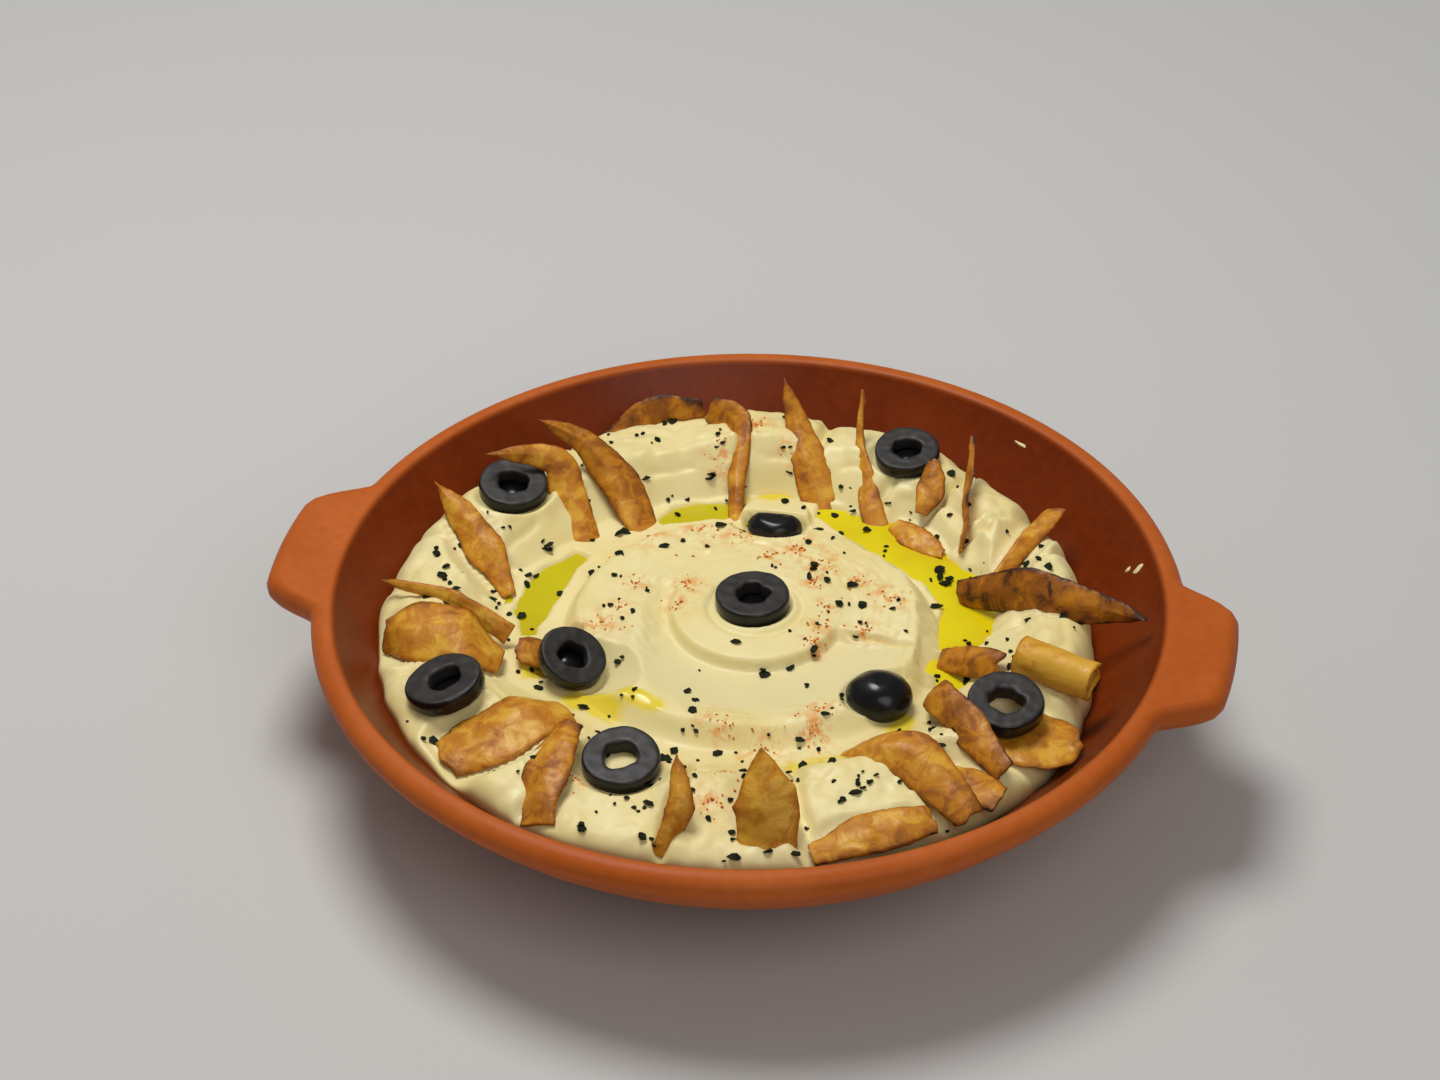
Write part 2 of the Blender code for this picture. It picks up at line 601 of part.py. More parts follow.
# ---------------------------------------------------------------- assembly
def main():
    clear_scene()
    parts = new_collection("hummus_dish")
    cutters = new_collection("cutters")
    clay = new_material("terracotta", (0.36, 0.11, 0.04), 0.5)
    paste = new_material("hummus", (0.80, 0.72, 0.50), 0.6)
    oil = new_material("olive_oil", (0.55, 0.45, 0.02), 0.1)
    olive = new_material("black_olive", (0.02, 0.02, 0.02), 0.3)
    bread = new_material("fried_bread", (0.50, 0.24, 0.06), 0.6)

    make_dish(parts, cutters, clay)
    hummus = make_hummus(parts, paste)
    rooms = {}
    for name, stations in OIL_POOLS.items():
        make_pool(name, stations, oil, parts)
        rooms[name] = make_pool(name + "_room", stations, None, cutters, GAP)
    for name, place in OLIVE_SLICES.items():
        make_slice(name, place, olive, parts)
        rooms[name] = make_slice(name + "_room", place, None, cutters, GAP)
    for name, place in OLIVE_ENDS.items():
        make_olive_end(name, place, olive, parts)
        rooms[name] = make_olive_end(name + "_room", place, None, cutters, GAP)
    for name, shape in CHIPS.items():
        make_chip(name, shape, bread, parts)
        rooms[name] = make_chip(name + "_room", shape, None, cutters, GAP)
    make_roll(ROLL_NAME, bread, parts)
    rooms[ROLL_NAME] = make_roll(ROLL_NAME + "_room", None, cutters, GAP)
    for room in rooms.values():
        boolean(hummus, as_cutter(room), "DIFFERENCE")
    for name, others in STANDS_IN.items():
        for other in others:
            boolean(bpy.data.objects[name], rooms[other], "DIFFERENCE")


main()
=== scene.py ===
"""Looks of the hummus in its two-eared terracotta dish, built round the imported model.

Lengths are in millimetres in the constants and become metres when a mesh is made.
"Level" is a height measured from the rim plane. Angles are in degrees round the dish,
from the right ear, counter-clockwise seen from above.
"""
import math
import random

import bmesh
import bpy
import numpy as np
from mathutils import Matrix, Vector, noise


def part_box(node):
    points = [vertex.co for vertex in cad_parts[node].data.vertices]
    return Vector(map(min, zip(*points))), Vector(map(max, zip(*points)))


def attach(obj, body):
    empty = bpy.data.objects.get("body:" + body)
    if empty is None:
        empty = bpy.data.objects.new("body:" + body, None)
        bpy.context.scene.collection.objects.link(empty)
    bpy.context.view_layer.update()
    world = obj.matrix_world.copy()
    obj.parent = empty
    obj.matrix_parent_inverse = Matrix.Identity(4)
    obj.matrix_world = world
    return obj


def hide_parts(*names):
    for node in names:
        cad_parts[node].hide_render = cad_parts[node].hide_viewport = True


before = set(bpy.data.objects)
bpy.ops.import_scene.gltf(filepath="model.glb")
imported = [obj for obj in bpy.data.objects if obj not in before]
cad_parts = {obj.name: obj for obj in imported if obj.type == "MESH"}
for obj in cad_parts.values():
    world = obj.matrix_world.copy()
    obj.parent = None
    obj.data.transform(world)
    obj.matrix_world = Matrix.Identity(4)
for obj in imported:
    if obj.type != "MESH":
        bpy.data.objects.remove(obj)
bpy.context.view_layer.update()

MM = 0.001
ROOT = "root"
DISH_LOW, DISH_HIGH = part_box("dish")
RIM_LEVEL = DISH_HIGH[2] / MM
FRONT = 281.5  # direction of the served side

# ---------------- dish
RIM_RADIUS = (DISH_HIGH[1] - DISH_LOW[1]) / 2 / MM
EAR_REACH = DISH_HIGH[0] / MM
EAR_ROOT = RIM_RADIUS - 3
EAR_FULL_ANGLE = 7.5
EAR_END_ANGLE = 16.5
EAR_DROP = 0.3  # the ear's top lies a little under the lip
LIP_RADIUS = 3.5
LIP_MIDDLE = RIM_RADIUS - LIP_RADIUS
WALL_IN_RADIUS = 93.3
WALL_IN_START = 37.7
WALL_IN_TOP = (94.3, RIM_LEVEL - 1.2)
WALL_OUT_RADIUS = 100
WALL_OUT_START = 38
WALL_OUT_END = 75
UNDER_EAR_LEVEL = -9  # where the ear's underside runs into the wall
BASE_RADIUS = 44
BASE_EDGE = ((1, 0.35), (0, 0.02), (-3, 0), (-12, 0))  # soft edge under the base
DISH_TURNS = 288

# ---------------- hummus
BUTTON_CENTRE = (1.4, 1.2)
BUTTON_RADIUS = 19.5
BUTTON_LEVEL = -4
BUTTON_CROWN = 0.0025  # how fast the button falls off, per millimetre
MOUND_LEVEL = -5.2
MOUND_RADIUS = 39
MOUND_FRONT = 4.5  # the mound reaches this much further in front
MOUND_BACK = 2.5  # and this much less behind
MOUND_FADE = (2.5, 4)  # it falls from this far inside its edge to this far outside
GROOVE_TURN = (140, 235, 347, 356)  # the groove begins, is full, fades and has ended
GROOVE_WIDENS = (195, 265)
GROOVE_DEPTH = 2.6  # the spoon's groove round the button
GROOVE_INNER = 20.5
GROOVE_OUTER = (27, 42)  # radius of its outer edge where it begins and in front
GROOVE_LIP = 0.7  # ridge left along its outer edge
MOAT_LEVEL = -8.6
MOAT_DEPTH = 4.2  # the moat is this much deeper where it holds oil
BANK_FOOT = 47
BANK_CREST = 65
BANK_LEVEL = -3.6
BANK_FALL = 1.6  # the bank falls this much from its crest to the wall
BANK_OUTER = 86
EDGE_LEVEL = -12.8  # level at which the paste meets the wall
EDGE_TILT = 3  # it stands higher towards the front left
EDGE_DIP = 2.2  # and lower beside the right ear
HUMMUS_TURNS = 560
HUMMUS_RINGS = 160
UNDER_RINGS = 6  # rings of the underside that follow the wall
SKIN_GAP = 0.15  # the paste stops this far short of the wall
EDGE_BAND = 7  # width over which the paste rounds down to the wall

OIL_LEVEL = -11.3
BASIN_DEPTH = 1.3  # the paste is hollowed this far under the oil's level
OLIVE_RADIUS = 8.9
OLIVE_HOLE = 3.7
OLIVE_HALF = 2.3
CHIP_HALF = 0.42  # half the bread's thickness
OLIVE_CUT_SHARE = 0.78  # the back olive's end is cut flat at this share of its height


# angle, radius, level of the middle, tilt, direction it tilts down to, size
OLIVE_SLICES = {
    "olive_centre": (80, 2.2, -3.6, 0, 0, 1),
    "olive_back_left": (153, 71.5, -2.2, 10, 300, 0.94),
    "olive_back_right": (68, 68.6, -1.6, 8, 250, 0.90),
    "olive_left": (214.5, 43.5, -5.6, 26, 330, 0.90),
    "olive_front_left": (216, 74.2, -2.2, 14, 190, 1.02),
    "olive_front": (254.5, 61.4, -4.2, 8, 280, 1),
    "olive_right": (336.8, 68.6, -1.2, 8, 290, 1),
}
OLIVE_ENDS = {
    "olive_end_front": (326, 41.5, -6.6, 7.6, 5.4),
    "olive_end_back": (93, 42, -11.6, 6.6, 4.2),
}


# slices whose hole ends in a dark disc, a painted shadow, instead of showing the paste
OLIVE_SHADOW_WELLS = ("olive_centre", "olive_back_left", "olive_back_right", "olive_left", "olive_front_left")
WELL_STEPS = 32
WELL_REACH = OLIVE_HOLE + 1.4  # the painted shadow disc in the hole runs this far, under the flesh
WELL_LEVELS = (-0.55 * OLIVE_HALF, -0.95 * OLIVE_HALF)


# path from foot to tip, widths along it, direction of the width at foot and tip, bow, toasting
CHIPS = {
    "chip_far_left": (((179, 57, -10), (169, 68, -3.5), (164, 83, 3)), (3, 9.5, 1.8), (60, 20),
        (80, 40), 1.2, 0.35),
    "chip_back_left_arch": (((150, 50, -12), (146, 60, -3.5), (145, 67, 3), (154.5, 78, 5.5)),
        (6, 8, 7, 1.5), (40, 10), (80, 60), 1, 0.40),
    "chip_back_left_blade": (((134, 44, -12), (134.5, 55, -4.5), (138, 66, 4.5), (144, 74, 10)),
        (7, 10, 6, 1.6), (40, 0), (70, 50), 1.4, 0.55),
    "chip_back_low": (((128, 79, -8), (119, 77.5, -3), (110, 75, -1)), (4, 9, 6), (120, 80), (110, 75),
        0.6, 0.70),
    "chip_back_arch": (((106, 41, -12), (104.5, 54, -5), (103.5, 66, 0.5), (109, 71, 2)),
        (4, 5, 8, 7), (20, 20), (30, 60), 1.4, 0.50),
    "chip_back_blade": (((81, 48.5, -13), (86.5, 57, -5), (91, 65, 0), (95, 75, 8)), (7, 9.5, 7, 1.4),
        (5, 0), (10, 0), 1.2, 0.50),
    "chip_back_twist": (((64, 50, -12), (73, 58, -5.5), (78, 66, 0), (79.5, 74, 9)), (6, 5, 2.6, 1.4),
        (20, 10), (60, 70), 0.6, 0.45),
    "chip_back_right_blade": (((40, 57, -9), (49, 65, -1.5), (57, 76, 5.5)), (5, 5.5, 1.5), (100, 60),
        (60, 75), 0.8, 0.55),
    "chip_back_right_small": (((55.5, 56.5, -6.5), (57.5, 61.5, -2.5), (60.5, 67, 0.5)), (3, 7, 3),
        (10, 10), (10, 20), 0.8, 0.60),
    "chip_oil_edge": (((61, 53, -10.2), (55, 52.2, -9.8), (49, 52.6, -9.8), (43.5, 53.6, -10.2)),
        (4, 6.5, 6, 2.5), (57, 20), (50, 20), 0.5, 0.45),
    "chip_right_fold": (((22, 54, -11), (31, 66, -5), (38.5, 79.5, -4)), (3, 5.5, 9), (330, 0),
        (350, 30), 2.4, 0.35),
    "chip_right_long": (((25, 50, -9), (13, 63, -1), (8, 78, -0.5), (5, 90.5, 0)), (6, 12, 8, 1.6),
        (95, 65), (95, 75), 1.6, 0.85),
    "chip_right_under": (((356, 45, -10), (352, 54, -5.5), (350, 60.5, -3.5)), (5, 8, 6), (90, 40),
        (80, 40), 1.2, 0.60),
    "chip_right_flat": (((331, 70, -6.4), (337, 79, -6.6), (341, 83.5, -6.8)), (13, 19, 9), (60, 0),
        (60, 0), 1, 0.40),
    "chip_right_dark": (((334.5, 50.5, -7), (330, 54, -1), (326.5, 66, -0.5), (324.5, 81, -3.5)),
        (2.5, 7.5, 8.5, 6), (50, 40), (55, 40), 1, 0.65),
    "chip_right_layer": (((319.5, 70, -6.5), (319, 78, -4.8), (320.5, 85.5, -5)), (4, 9, 7),
        (60, 10), (60, 10), 1, 0.45),
    "chip_front_right": (((303, 55, -7.5), (307, 60, -2), (313, 68, 0.5), (314.5, 87, -5)),
        (6, 11, 12, 7), (60, 30), (50, 20), 2, 0.45),
    "chip_front_rim": (((290.5, 84, -6.8), (300, 83.5, -4.2), (309.5, 84, -4.4)), (5, 10, 7),
        (290, -15), (310, -15), 1.2, 0.35),
    "chip_front_shard": (((284, 82.5, -9), (284.5, 77, 2), (283.5, 70, 12)), (13, 14, 2), (11, 0),
        (11, 0), 2, 0.20),
    "chip_front_blade": (((268.3, 84, -8), (270.3, 78, 1), (268.5, 69, 8)), (4, 6, 1.5), (40, 25),
        (40, 25), 1, 0.40),
    "chip_front_left": (((249.5, 86, -7), (246, 74, -1.5), (240.6, 60, -1.2)), (8, 10.5, 6), (330, 5),
        (350, 10), 1.6, 0.50),
    "chip_left_large": (((207, 58, -7.5), (203.5, 66, -2), (199, 77, -3), (196, 83.5, -7)),
        (9, 14, 15, 8), (110, 10), (110, 15), 1.8, 0.35),
    "chip_left_long": (((198, 55, -7.5), (192, 68, -1.5), (187.5, 84.5, -1)), (5, 4, 1.6), (90, 60),
        (90, 80), 0.6, 0.35),
    "chip_left_base": (((206, 45, -12), (205, 50, -8.5), (203.5, 54, -7.2)), (6, 8.5, 5.5), (110, 20),
        (100, 20), 0.8, 0.55),
    "chip_left_under": (((233, 54, -6.5), (231, 63, -3), (229.5, 74, -5.2), (228, 83.5, -8)),
        (11, 16, 17, 12), (320, 0), (320, 0), 1.8, 0.35),
}
CHIP_SECTIONS = 54
CHIP_ACROSS = 15
TIP_START = 0.88  # from here to the end a pointed chip narrows


# chips that lie on the paste rather than stand in it
LYING_CHIPS = ("chip_left_under", "chip_left_large", "chip_right_flat", "chip_right_layer",
    "chip_front_rim", "chip_right_under", "chip_oil_edge", "chip_left_base", "chip_right_fold",
    "chip_far_left")


# ---------------- helpers
def polar(angle, radius, level=0):
    turn = math.radians(angle)
    return Vector((radius * math.cos(turn), radius * math.sin(turn), RIM_LEVEL + level))


def smooth(low, high, value):
    t = np.clip((value - low) / (high - low), 0, 1)
    return t * t * (3 - 2 * t)


def fade(low, high, value):
    return 1 - smooth(low, high, value)


def bell(value, middle, half_width):
    return np.exp(-((value - middle) / half_width) ** 2)


def turn_from(angle, middle):
    return (angle - middle + 180) % 360 - 180


def place_on_paste(x, y):
    """Direction and distance from the middle of the dish, and distance from the button's."""
    return (np.degrees(np.arctan2(y, x)) % 360, np.hypot(x, y),
            np.hypot(x - BUTTON_CENTRE[0], y - BUTTON_CENTRE[1]))


def around(count):
    """Cosine and sine of evenly spaced directions in a full turn."""
    turns = [2 * math.pi * i / count for i in range(count)]
    return [(math.cos(turn), math.sin(turn)) for turn in turns]


def along(values, t):
    """Catmull-Rom curve through evenly spaced values."""
    table = np.asarray(values, float)
    ends = np.vstack([2 * table[0] - table[1], table, 2 * table[-1] - table[-2]])
    place = t * (len(table) - 1)
    index = min(int(place), len(table) - 2)
    u = place - index
    a, b, c, d = ends[index:index + 4]
    return 0.5 * (2 * b + (c - a) * u + (2 * a - 5 * b + 4 * c - d) * u ** 2
                  + (3 * b - a - 3 * c + d) * u ** 3)


def heading(direction):
    turn, tilt = (math.radians(value) for value in direction)
    return Vector((math.cos(turn) * math.cos(tilt), math.sin(turn) * math.cos(tilt), math.sin(tilt)))


def wobble(x, y, z, scale, seed=0):
    """Smooth noise of about -1 to 1 at points given as arrays in millimetres."""
    flat = np.broadcast_arrays(x, y, z)
    values = [noise.noise(Vector((a / scale + seed, b / scale - seed, c / scale + 2 * seed)))
              for a, b, c in zip(*(part.ravel() for part in flat))]
    return np.array(values).reshape(flat[0].shape)


def mesh_piece(name, points, faces, material, replaced=(), attributes=None):
    """A smooth mesh object from points in millimetres, riding on the dish."""
    mesh = bpy.data.meshes.new(name)
    mesh.from_pydata((np.asarray(points, float) * MM).tolist(), [], faces)
    for key, values in (attributes or {}).items():
        layer = mesh.attributes.new(key, "FLOAT", "POINT")
        layer.data.foreach_set("value", np.asarray(values, dtype=np.float32).ravel())
    shell = bmesh.new()
    shell.from_mesh(mesh)
    bmesh.ops.recalc_face_normals(shell, faces=shell.faces)
    if shell.calc_volume(signed=True) < 0:
        bmesh.ops.reverse_faces(shell, faces=shell.faces)
    shell.to_mesh(mesh)
    shell.free()
    mesh.shade_smooth()
    piece = bpy.data.objects.new(name, mesh)
    bpy.context.scene.collection.objects.link(piece)
    mesh.materials.append(material)
    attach(piece, ROOT)
    if replaced:
        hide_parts(*replaced)
    return piece


def ring_faces(rings, steps):
    """Faces of a closed shell: a pole, rings of points, and a second pole at the end."""
    faces = []
    last = 1 + rings * steps
    for i in range(steps):
        j = (i + 1) % steps
        faces.append((0, 1 + i, 1 + j))
        for ring in range(rings - 1):
            a = 1 + ring * steps
            faces.append((a + i, a + steps + i, a + steps + j, a + j))
        a = 1 + (rings - 1) * steps
        faces.append((last, a + j, a + i))
    return faces


def tube_faces(sections, count, closed=False):
    """Faces between sections of count points; closed joins the last section to the first."""
    faces = []
    for i in range(sections if closed else sections - 1):
        a, b = i * count, ((i + 1) % sections) * count
        faces += [(a + k, a + (k + 1) % count, b + (k + 1) % count, b + k) for k in range(count)]
    return faces


def sheet_faces(sections, across):
    """Faces of a thin sheet whose sections run along its upper side and back along its lower."""
    count = 2 * across
    faces = tube_faces(sections, count)
    for first in (0, count * (sections - 1)):
        faces += [(first + k, first + k + 1, first + count - 2 - k, first + count - 1 - k)
                  for k in range(across - 1)]
    return faces


# ---------------- materials
def linear(red, green, blue):
    """Linear colour from a named screen colour of 0 to 255."""
    return tuple((c / 255 / 12.92) if c <= 10 else ((c / 255 + 0.055) / 1.055) ** 2.4
                 for c in (red, green, blue)) + (1,)


class Look:
    """A Principled material with its nodes made one call at a time."""

    def __init__(self, name, roughness=0.5):
        self.material = bpy.data.materials.new(name)
        self.material.use_nodes = True
        self.nodes = self.material.node_tree.nodes
        self.links = self.material.node_tree.links
        self.shader = self.nodes["Principled BSDF"]
        self.shader.inputs["Roughness"].default_value = roughness
        self.place = self.nodes.new("ShaderNodeTexCoord").outputs["Object"]

    def set(self, node=None, **values):
        """Constant inputs of a node, by default the material's own shader."""
        for key, value in values.items():
            (node or self.shader).inputs[key.replace("_", " ")].default_value = value
        return self

    def node(self, kind, **values):
        node = self.nodes.new("ShaderNode" + kind)
        self.set(node, **values)
        return node

    def noise(self, scale, detail=3, rough=0.5, distortion=0):
        node = self.node("TexNoise", Scale=scale, Detail=detail, Roughness=rough, Distortion=distortion)
        self.links.new(self.place, node.inputs["Vector"])
        return node.outputs["Fac"]

    def attribute(self, name):
        node = self.node("Attribute")
        node.attribute_name = name
        return node.outputs["Fac"]

    def ramp(self, value, low, high, first=0, last=1):
        node = self.node("MapRange", From_Min=low, From_Max=high, To_Min=first, To_Max=last)
        node.interpolation_type = "SMOOTHSTEP"
        self.links.new(value, node.inputs["Value"])
        return node.outputs["Result"]

    def math(self, operation, a, b):
        node = self.node("Math")
        node.operation = operation
        self.feed(node.inputs, (a, b))
        return node.outputs["Value"]

    def mix(self, factor, first, second):
        node = self.node("Mix")
        node.data_type = "RGBA"
        self.links.new(factor, node.inputs["Factor"])
        self.feed(node.inputs[6:8], (first, second))
        return node.outputs[2]

    def feed(self, sockets, values):
        """Constants are set and other nodes' outputs linked."""
        for socket, value in zip(sockets, values):
            if isinstance(value, (int, float, tuple)):
                socket.default_value = value
            else:
                self.links.new(value, socket)

    def colour(self, value):
        self.links.new(value, self.shader.inputs["Base Color"])

    def rough(self, value):
        self.links.new(value, self.shader.inputs["Roughness"])

    def bump(self, height, strength, distance):
        node = self.node("Bump", Strength=strength, Distance=distance)
        self.links.new(height, node.inputs["Height"])
        self.links.new(node.outputs["Normal"], self.shader.inputs["Normal"])


def terracotta_look():
    look = Look("terracotta_clay")
    patches = look.ramp(look.noise(28, 4, 0.6), 0.35, 0.7)
    grain = look.noise(420, 2)
    outside = look.mix(patches, CLAY, CLAY_PALE)
    # the inner wall is darker partly from its glaze and partly as painted shade
    inside = look.mix(patches, CLAY_INSIDE_GLAZE_AND_SHADE, CLAY_INSIDE_GLAZE_AND_SHADE_PALE)
    inward_glaze_and_shade = look.attribute("inside")
    clay = look.mix(inward_glaze_and_shade, outside, inside)
    look.colour(look.mix(look.ramp(grain, 0.3, 0.75, 0, 0.18), clay, CLAY_DARK))
    glossier = look.math("MULTIPLY", inward_glaze_and_shade, -0.16)
    look.rough(look.math("ADD", glossier, look.ramp(patches, 0, 1, 0.46, 0.54)))
    look.bump(look.noise(260, 3), 0.12, 0.0004)
    look.set(Specular_IOR_Level=0.16)
    return look.material


def hummus_look():
    look = Look("hummus_paste")
    tint = look.ramp(look.noise(45, 3), 0.3, 0.7)
    colour = look.mix(tint, PASTE, PASTE_WARM)
    colour = look.mix(look.attribute("pressed"), colour, PASTE_PRESSED)
    veil = look.ramp(look.noise(150, 4, 0.6), 0.3, 0.7, -0.14, 0.14)
    oily = look.ramp(look.math("ADD", look.attribute("oily"), veil), 0.25, 0.75)
    colour = look.mix(look.math("MULTIPLY", oily, 0.92), colour, OIL_FILM)
    dust = look.ramp(look.noise(300, 3, 0.7), 0.44, 0.64)
    spice = look.math("MULTIPLY", look.attribute("spiced"), dust)
    look.colour(look.mix(spice, colour, PAPRIKA_STAIN))
    look.rough(look.math("SUBTRACT", look.ramp(look.noise(90, 2), 0.3, 0.7, 0.42, 0.58),
                         look.math("MULTIPLY", oily, 0.3)))
    look.bump(look.noise(330, 3), 0.10, 0.0004)
    look.set(Subsurface_Weight=0.15, Subsurface_Scale=0.002, Subsurface_Radius=(1, 0.7, 0.4))
    return look.material


def oil_look():
    look = Look("olive_oil")
    depth = look.ramp(look.noise(60, 2), 0.3, 0.7)
    look.colour(look.mix(look.attribute("deep"), look.mix(depth, OIL_BRIGHT, OIL_WARM), OIL_GREEN))
    look.set(Roughness=0.22, Specular_IOR_Level=0.4)
    look.bump(look.noise(110, 2), 0.30, 0.0012)
    return look.material


def olive_look():
    look = Look("black_olive")
    skin = look.attribute("skin")
    flesh = look.mix(look.ramp(look.noise(300, 3), 0.3, 0.7), OLIVE_CUT, OLIVE_CUT_PALE)
    look.colour(look.mix(skin, flesh, OLIVE_SKIN))
    glossier = look.math("MULTIPLY", skin, -0.26)
    look.rough(look.math("ADD", glossier, look.ramp(look.noise(120), 0.3, 0.7, 0.46, 0.56)))
    look.bump(look.noise(260, 3), 0.10, 0.0004)
    look.set(Specular_IOR_Level=0.35)
    return look.material


def bread_look():
    look = Look("fried_bread")
    patches = look.noise(230, 4, 0.65, 0.6)
    blisters = look.noise(620, 3, 0.6)
    toast = look.math("ADD", look.attribute("toast"), look.ramp(patches, 0.32, 0.68, -0.26, 0.26))
    colour = look.mix(look.ramp(toast, 0.05, 0.5), BREAD_PALE, BREAD_GOLD)
    colour = look.mix(look.ramp(toast, 0.45, 0.85), colour, BREAD_BROWN)
    colour = look.mix(look.ramp(toast, 0.85, 1.2), colour, BREAD_BURNT)
    look.colour(colour)
    look.rough(look.ramp(patches, 0.3, 0.7, 0.38, 0.58))
    look.bump(look.math("ADD", patches, look.math("MULTIPLY", blisters, 0.5)), 0.45, 0.0005)
    look.set(Subsurface_Weight=0.08, Subsurface_Scale=0.001, Specular_IOR_Level=0.3)
    return look.material


def speck_look(name, first, second, roughness):
    look = Look(name, roughness).set(Specular_IOR_Level=0.15)
    look.colour(look.mix(look.ramp(look.noise(400, 2), 0.35, 0.65), first, second))
    return look.material


# colours as they look under an even white light, except the inner clay, which also holds painted shade
CLAY = linear(182, 88, 26)
CLAY_PALE = linear(192, 98, 36)
CLAY_DARK = linear(146, 60, 14)
# inner clay: darker partly for the glaze, partly as painted shade of the inner wall
CLAY_INSIDE_GLAZE_AND_SHADE = linear(104, 37, 4)
CLAY_INSIDE_GLAZE_AND_SHADE_PALE = linear(118, 45, 6)
PASTE = linear(238, 223, 162)
PASTE_WARM = linear(232, 212, 142)
PASTE_PRESSED = linear(230, 215, 157)
OIL_FILM = linear(234, 208, 44)
PAPRIKA_STAIN = linear(226, 148, 58)
OIL_BRIGHT = linear(226, 208, 10)
OIL_WARM = linear(216, 186, 8)
OIL_GREEN = linear(176, 170, 14)
OLIVE_CUT = linear(34, 31, 29)
OLIVE_CUT_PALE = linear(48, 44, 40)
OLIVE_SKIN = linear(16, 14, 16)
BREAD_PALE = linear(220, 166, 54)
BREAD_GOLD = linear(196, 126, 26)
BREAD_BROWN = linear(152, 88, 18)
BREAD_BURNT = linear(66, 34, 16)
HERB = linear(30, 38, 14)
HERB_DARK = linear(14, 18, 7)
PAPRIKA = linear(222, 124, 30)
PAPRIKA_DARK = linear(186, 90, 18)


# ---------------- dish
def wall_in_centre():
    start = math.radians(WALL_IN_START)
    return (WALL_IN_TOP[0] - WALL_IN_RADIUS * math.cos(start),
            WALL_IN_TOP[1] + WALL_IN_RADIUS * math.sin(start))


def arc(centre, radius, first, last, steps):
    """Section points from first to last degrees, measured downwards from level."""
    return [(centre[0] + radius * math.cos(math.radians(a)), centre[1] - radius * math.sin(math.radians(a)))
            for a in np.linspace(first, last, steps)]


def bend(start, corner, end, steps):
    """Section points of a soft corner, without its two ends."""
    return [tuple((1 - t) ** 2 * np.array(start) + 2 * t * (1 - t) * np.array(corner) + t * t * np.array(end))
            for t in np.linspace(0, 1, steps + 2)[1:-1]]


def ear_extra(angle):
    """How far the rim reaches past its round outline at an angle."""
    turn = min(abs(turn_from(angle, 0)), abs(turn_from(angle, 180)))
    fall = float(smooth(EAR_FULL_ANGLE, EAR_END_ANGLE, turn))
    reach = EAR_REACH - (EAR_REACH - EAR_ROOT) * fall - RIM_RADIUS
    softness = 0.7
    return softness * math.log1p(math.exp(min(reach / softness, 40)))


def dish_section(angle):
    """Half section at an angle, from the inside of the floor over the lip to the base."""
    extra = ear_extra(angle)
    share = min(extra / (EAR_REACH - RIM_RADIUS), 1)
    drop = EAR_DROP * share
    inner = arc(wall_in_centre(), WALL_IN_RADIUS, 88, WALL_IN_START, 26)
    top_start = (95.9, RIM_LEVEL)
    top_end = (LIP_MIDDLE + extra, RIM_LEVEL - drop)
    lip = bend(inner[-1], (94.9, RIM_LEVEL - 0.1), top_start, 3)
    top = [(top_start[0] + (top_end[0] - top_start[0]) * t, top_start[1] + (top_end[1] - top_start[1]) * t)
           for t in np.linspace(0, 1, 7)[:-1]]
    edge_end = WALL_OUT_START + (92 - WALL_OUT_START) * share ** 0.5
    edge = arc((top_end[0], top_end[1] - LIP_RADIUS), LIP_RADIUS, -90, edge_end, 12)
    join = (LIP_MIDDLE + LIP_RADIUS * math.cos(math.radians(WALL_OUT_START)),
            RIM_LEVEL - LIP_RADIUS - LIP_RADIUS * math.sin(math.radians(WALL_OUT_START)))
    start = math.radians(WALL_OUT_START)
    centre = (join[0] - WALL_OUT_RADIUS * math.cos(start), join[1] + WALL_OUT_RADIUS * math.sin(start))
    wall_turn = math.degrees(math.asin((centre[1] - RIM_LEVEL - UNDER_EAR_LEVEL) / WALL_OUT_RADIUS))
    wall = arc(centre, WALL_OUT_RADIUS, wall_turn, WALL_OUT_END, 18)
    corner = np.array(join) * (1 - share) + np.array((wall[0][0] + 3.5, edge[-1][1] - 0.3)) * share
    under = bend(edge[-1], corner, wall[0], 6)
    base = [(BASE_RADIUS + past, level) for past, level in BASE_EDGE]
    section = inner + lip + top + edge + under + wall + base
    # the inside share picks the darker inner clay, glaze and painted shade together
    inside = [1] * len(inner) + [0.8, 0.45, 0.15] + [0] * (len(section) - len(inner) - 3)
    return section, inside


def make_dish():
    angles = np.arange(DISH_TURNS) * 360 / DISH_TURNS
    sections, inside = zip(*(dish_section(angle) for angle in angles))
    rings = len(sections[0])
    turn = np.radians(angles)
    table = np.array(sections)
    table[:, :, 0] += 0.10 * wobble(np.cos(turn)[:, None] * 60, np.sin(turn)[:, None] * 60,
                                    table[:, :, 1], 30) - 0.10
    points = [(0, 0, wall_in_centre()[1] - WALL_IN_RADIUS)]
    for k in range(rings):
        points += list(zip(table[:, k, 0] * np.cos(turn), table[:, k, 0] * np.sin(turn), table[:, k, 1]))
    points.append((0, 0, 0))
    shade = np.concatenate([[1], np.array(inside).T.ravel(), [0]])
    mesh_piece("dish_body", points, ring_faces(rings, DISH_TURNS), terracotta_look(),
               ("dish",), {"inside": shade})


# ---------------- hummus
def swell(angle, middle, half_width):
    """Round hump of height 1 in one direction from the middle of the dish."""
    return bell(turn_from(angle, middle), 0, half_width)


def crest_radius(angle):
    """Radius at which the bank is highest, which sways in and out twice round the dish."""
    return BANK_CREST + 3 * np.sin(np.radians(2 * angle + 40))


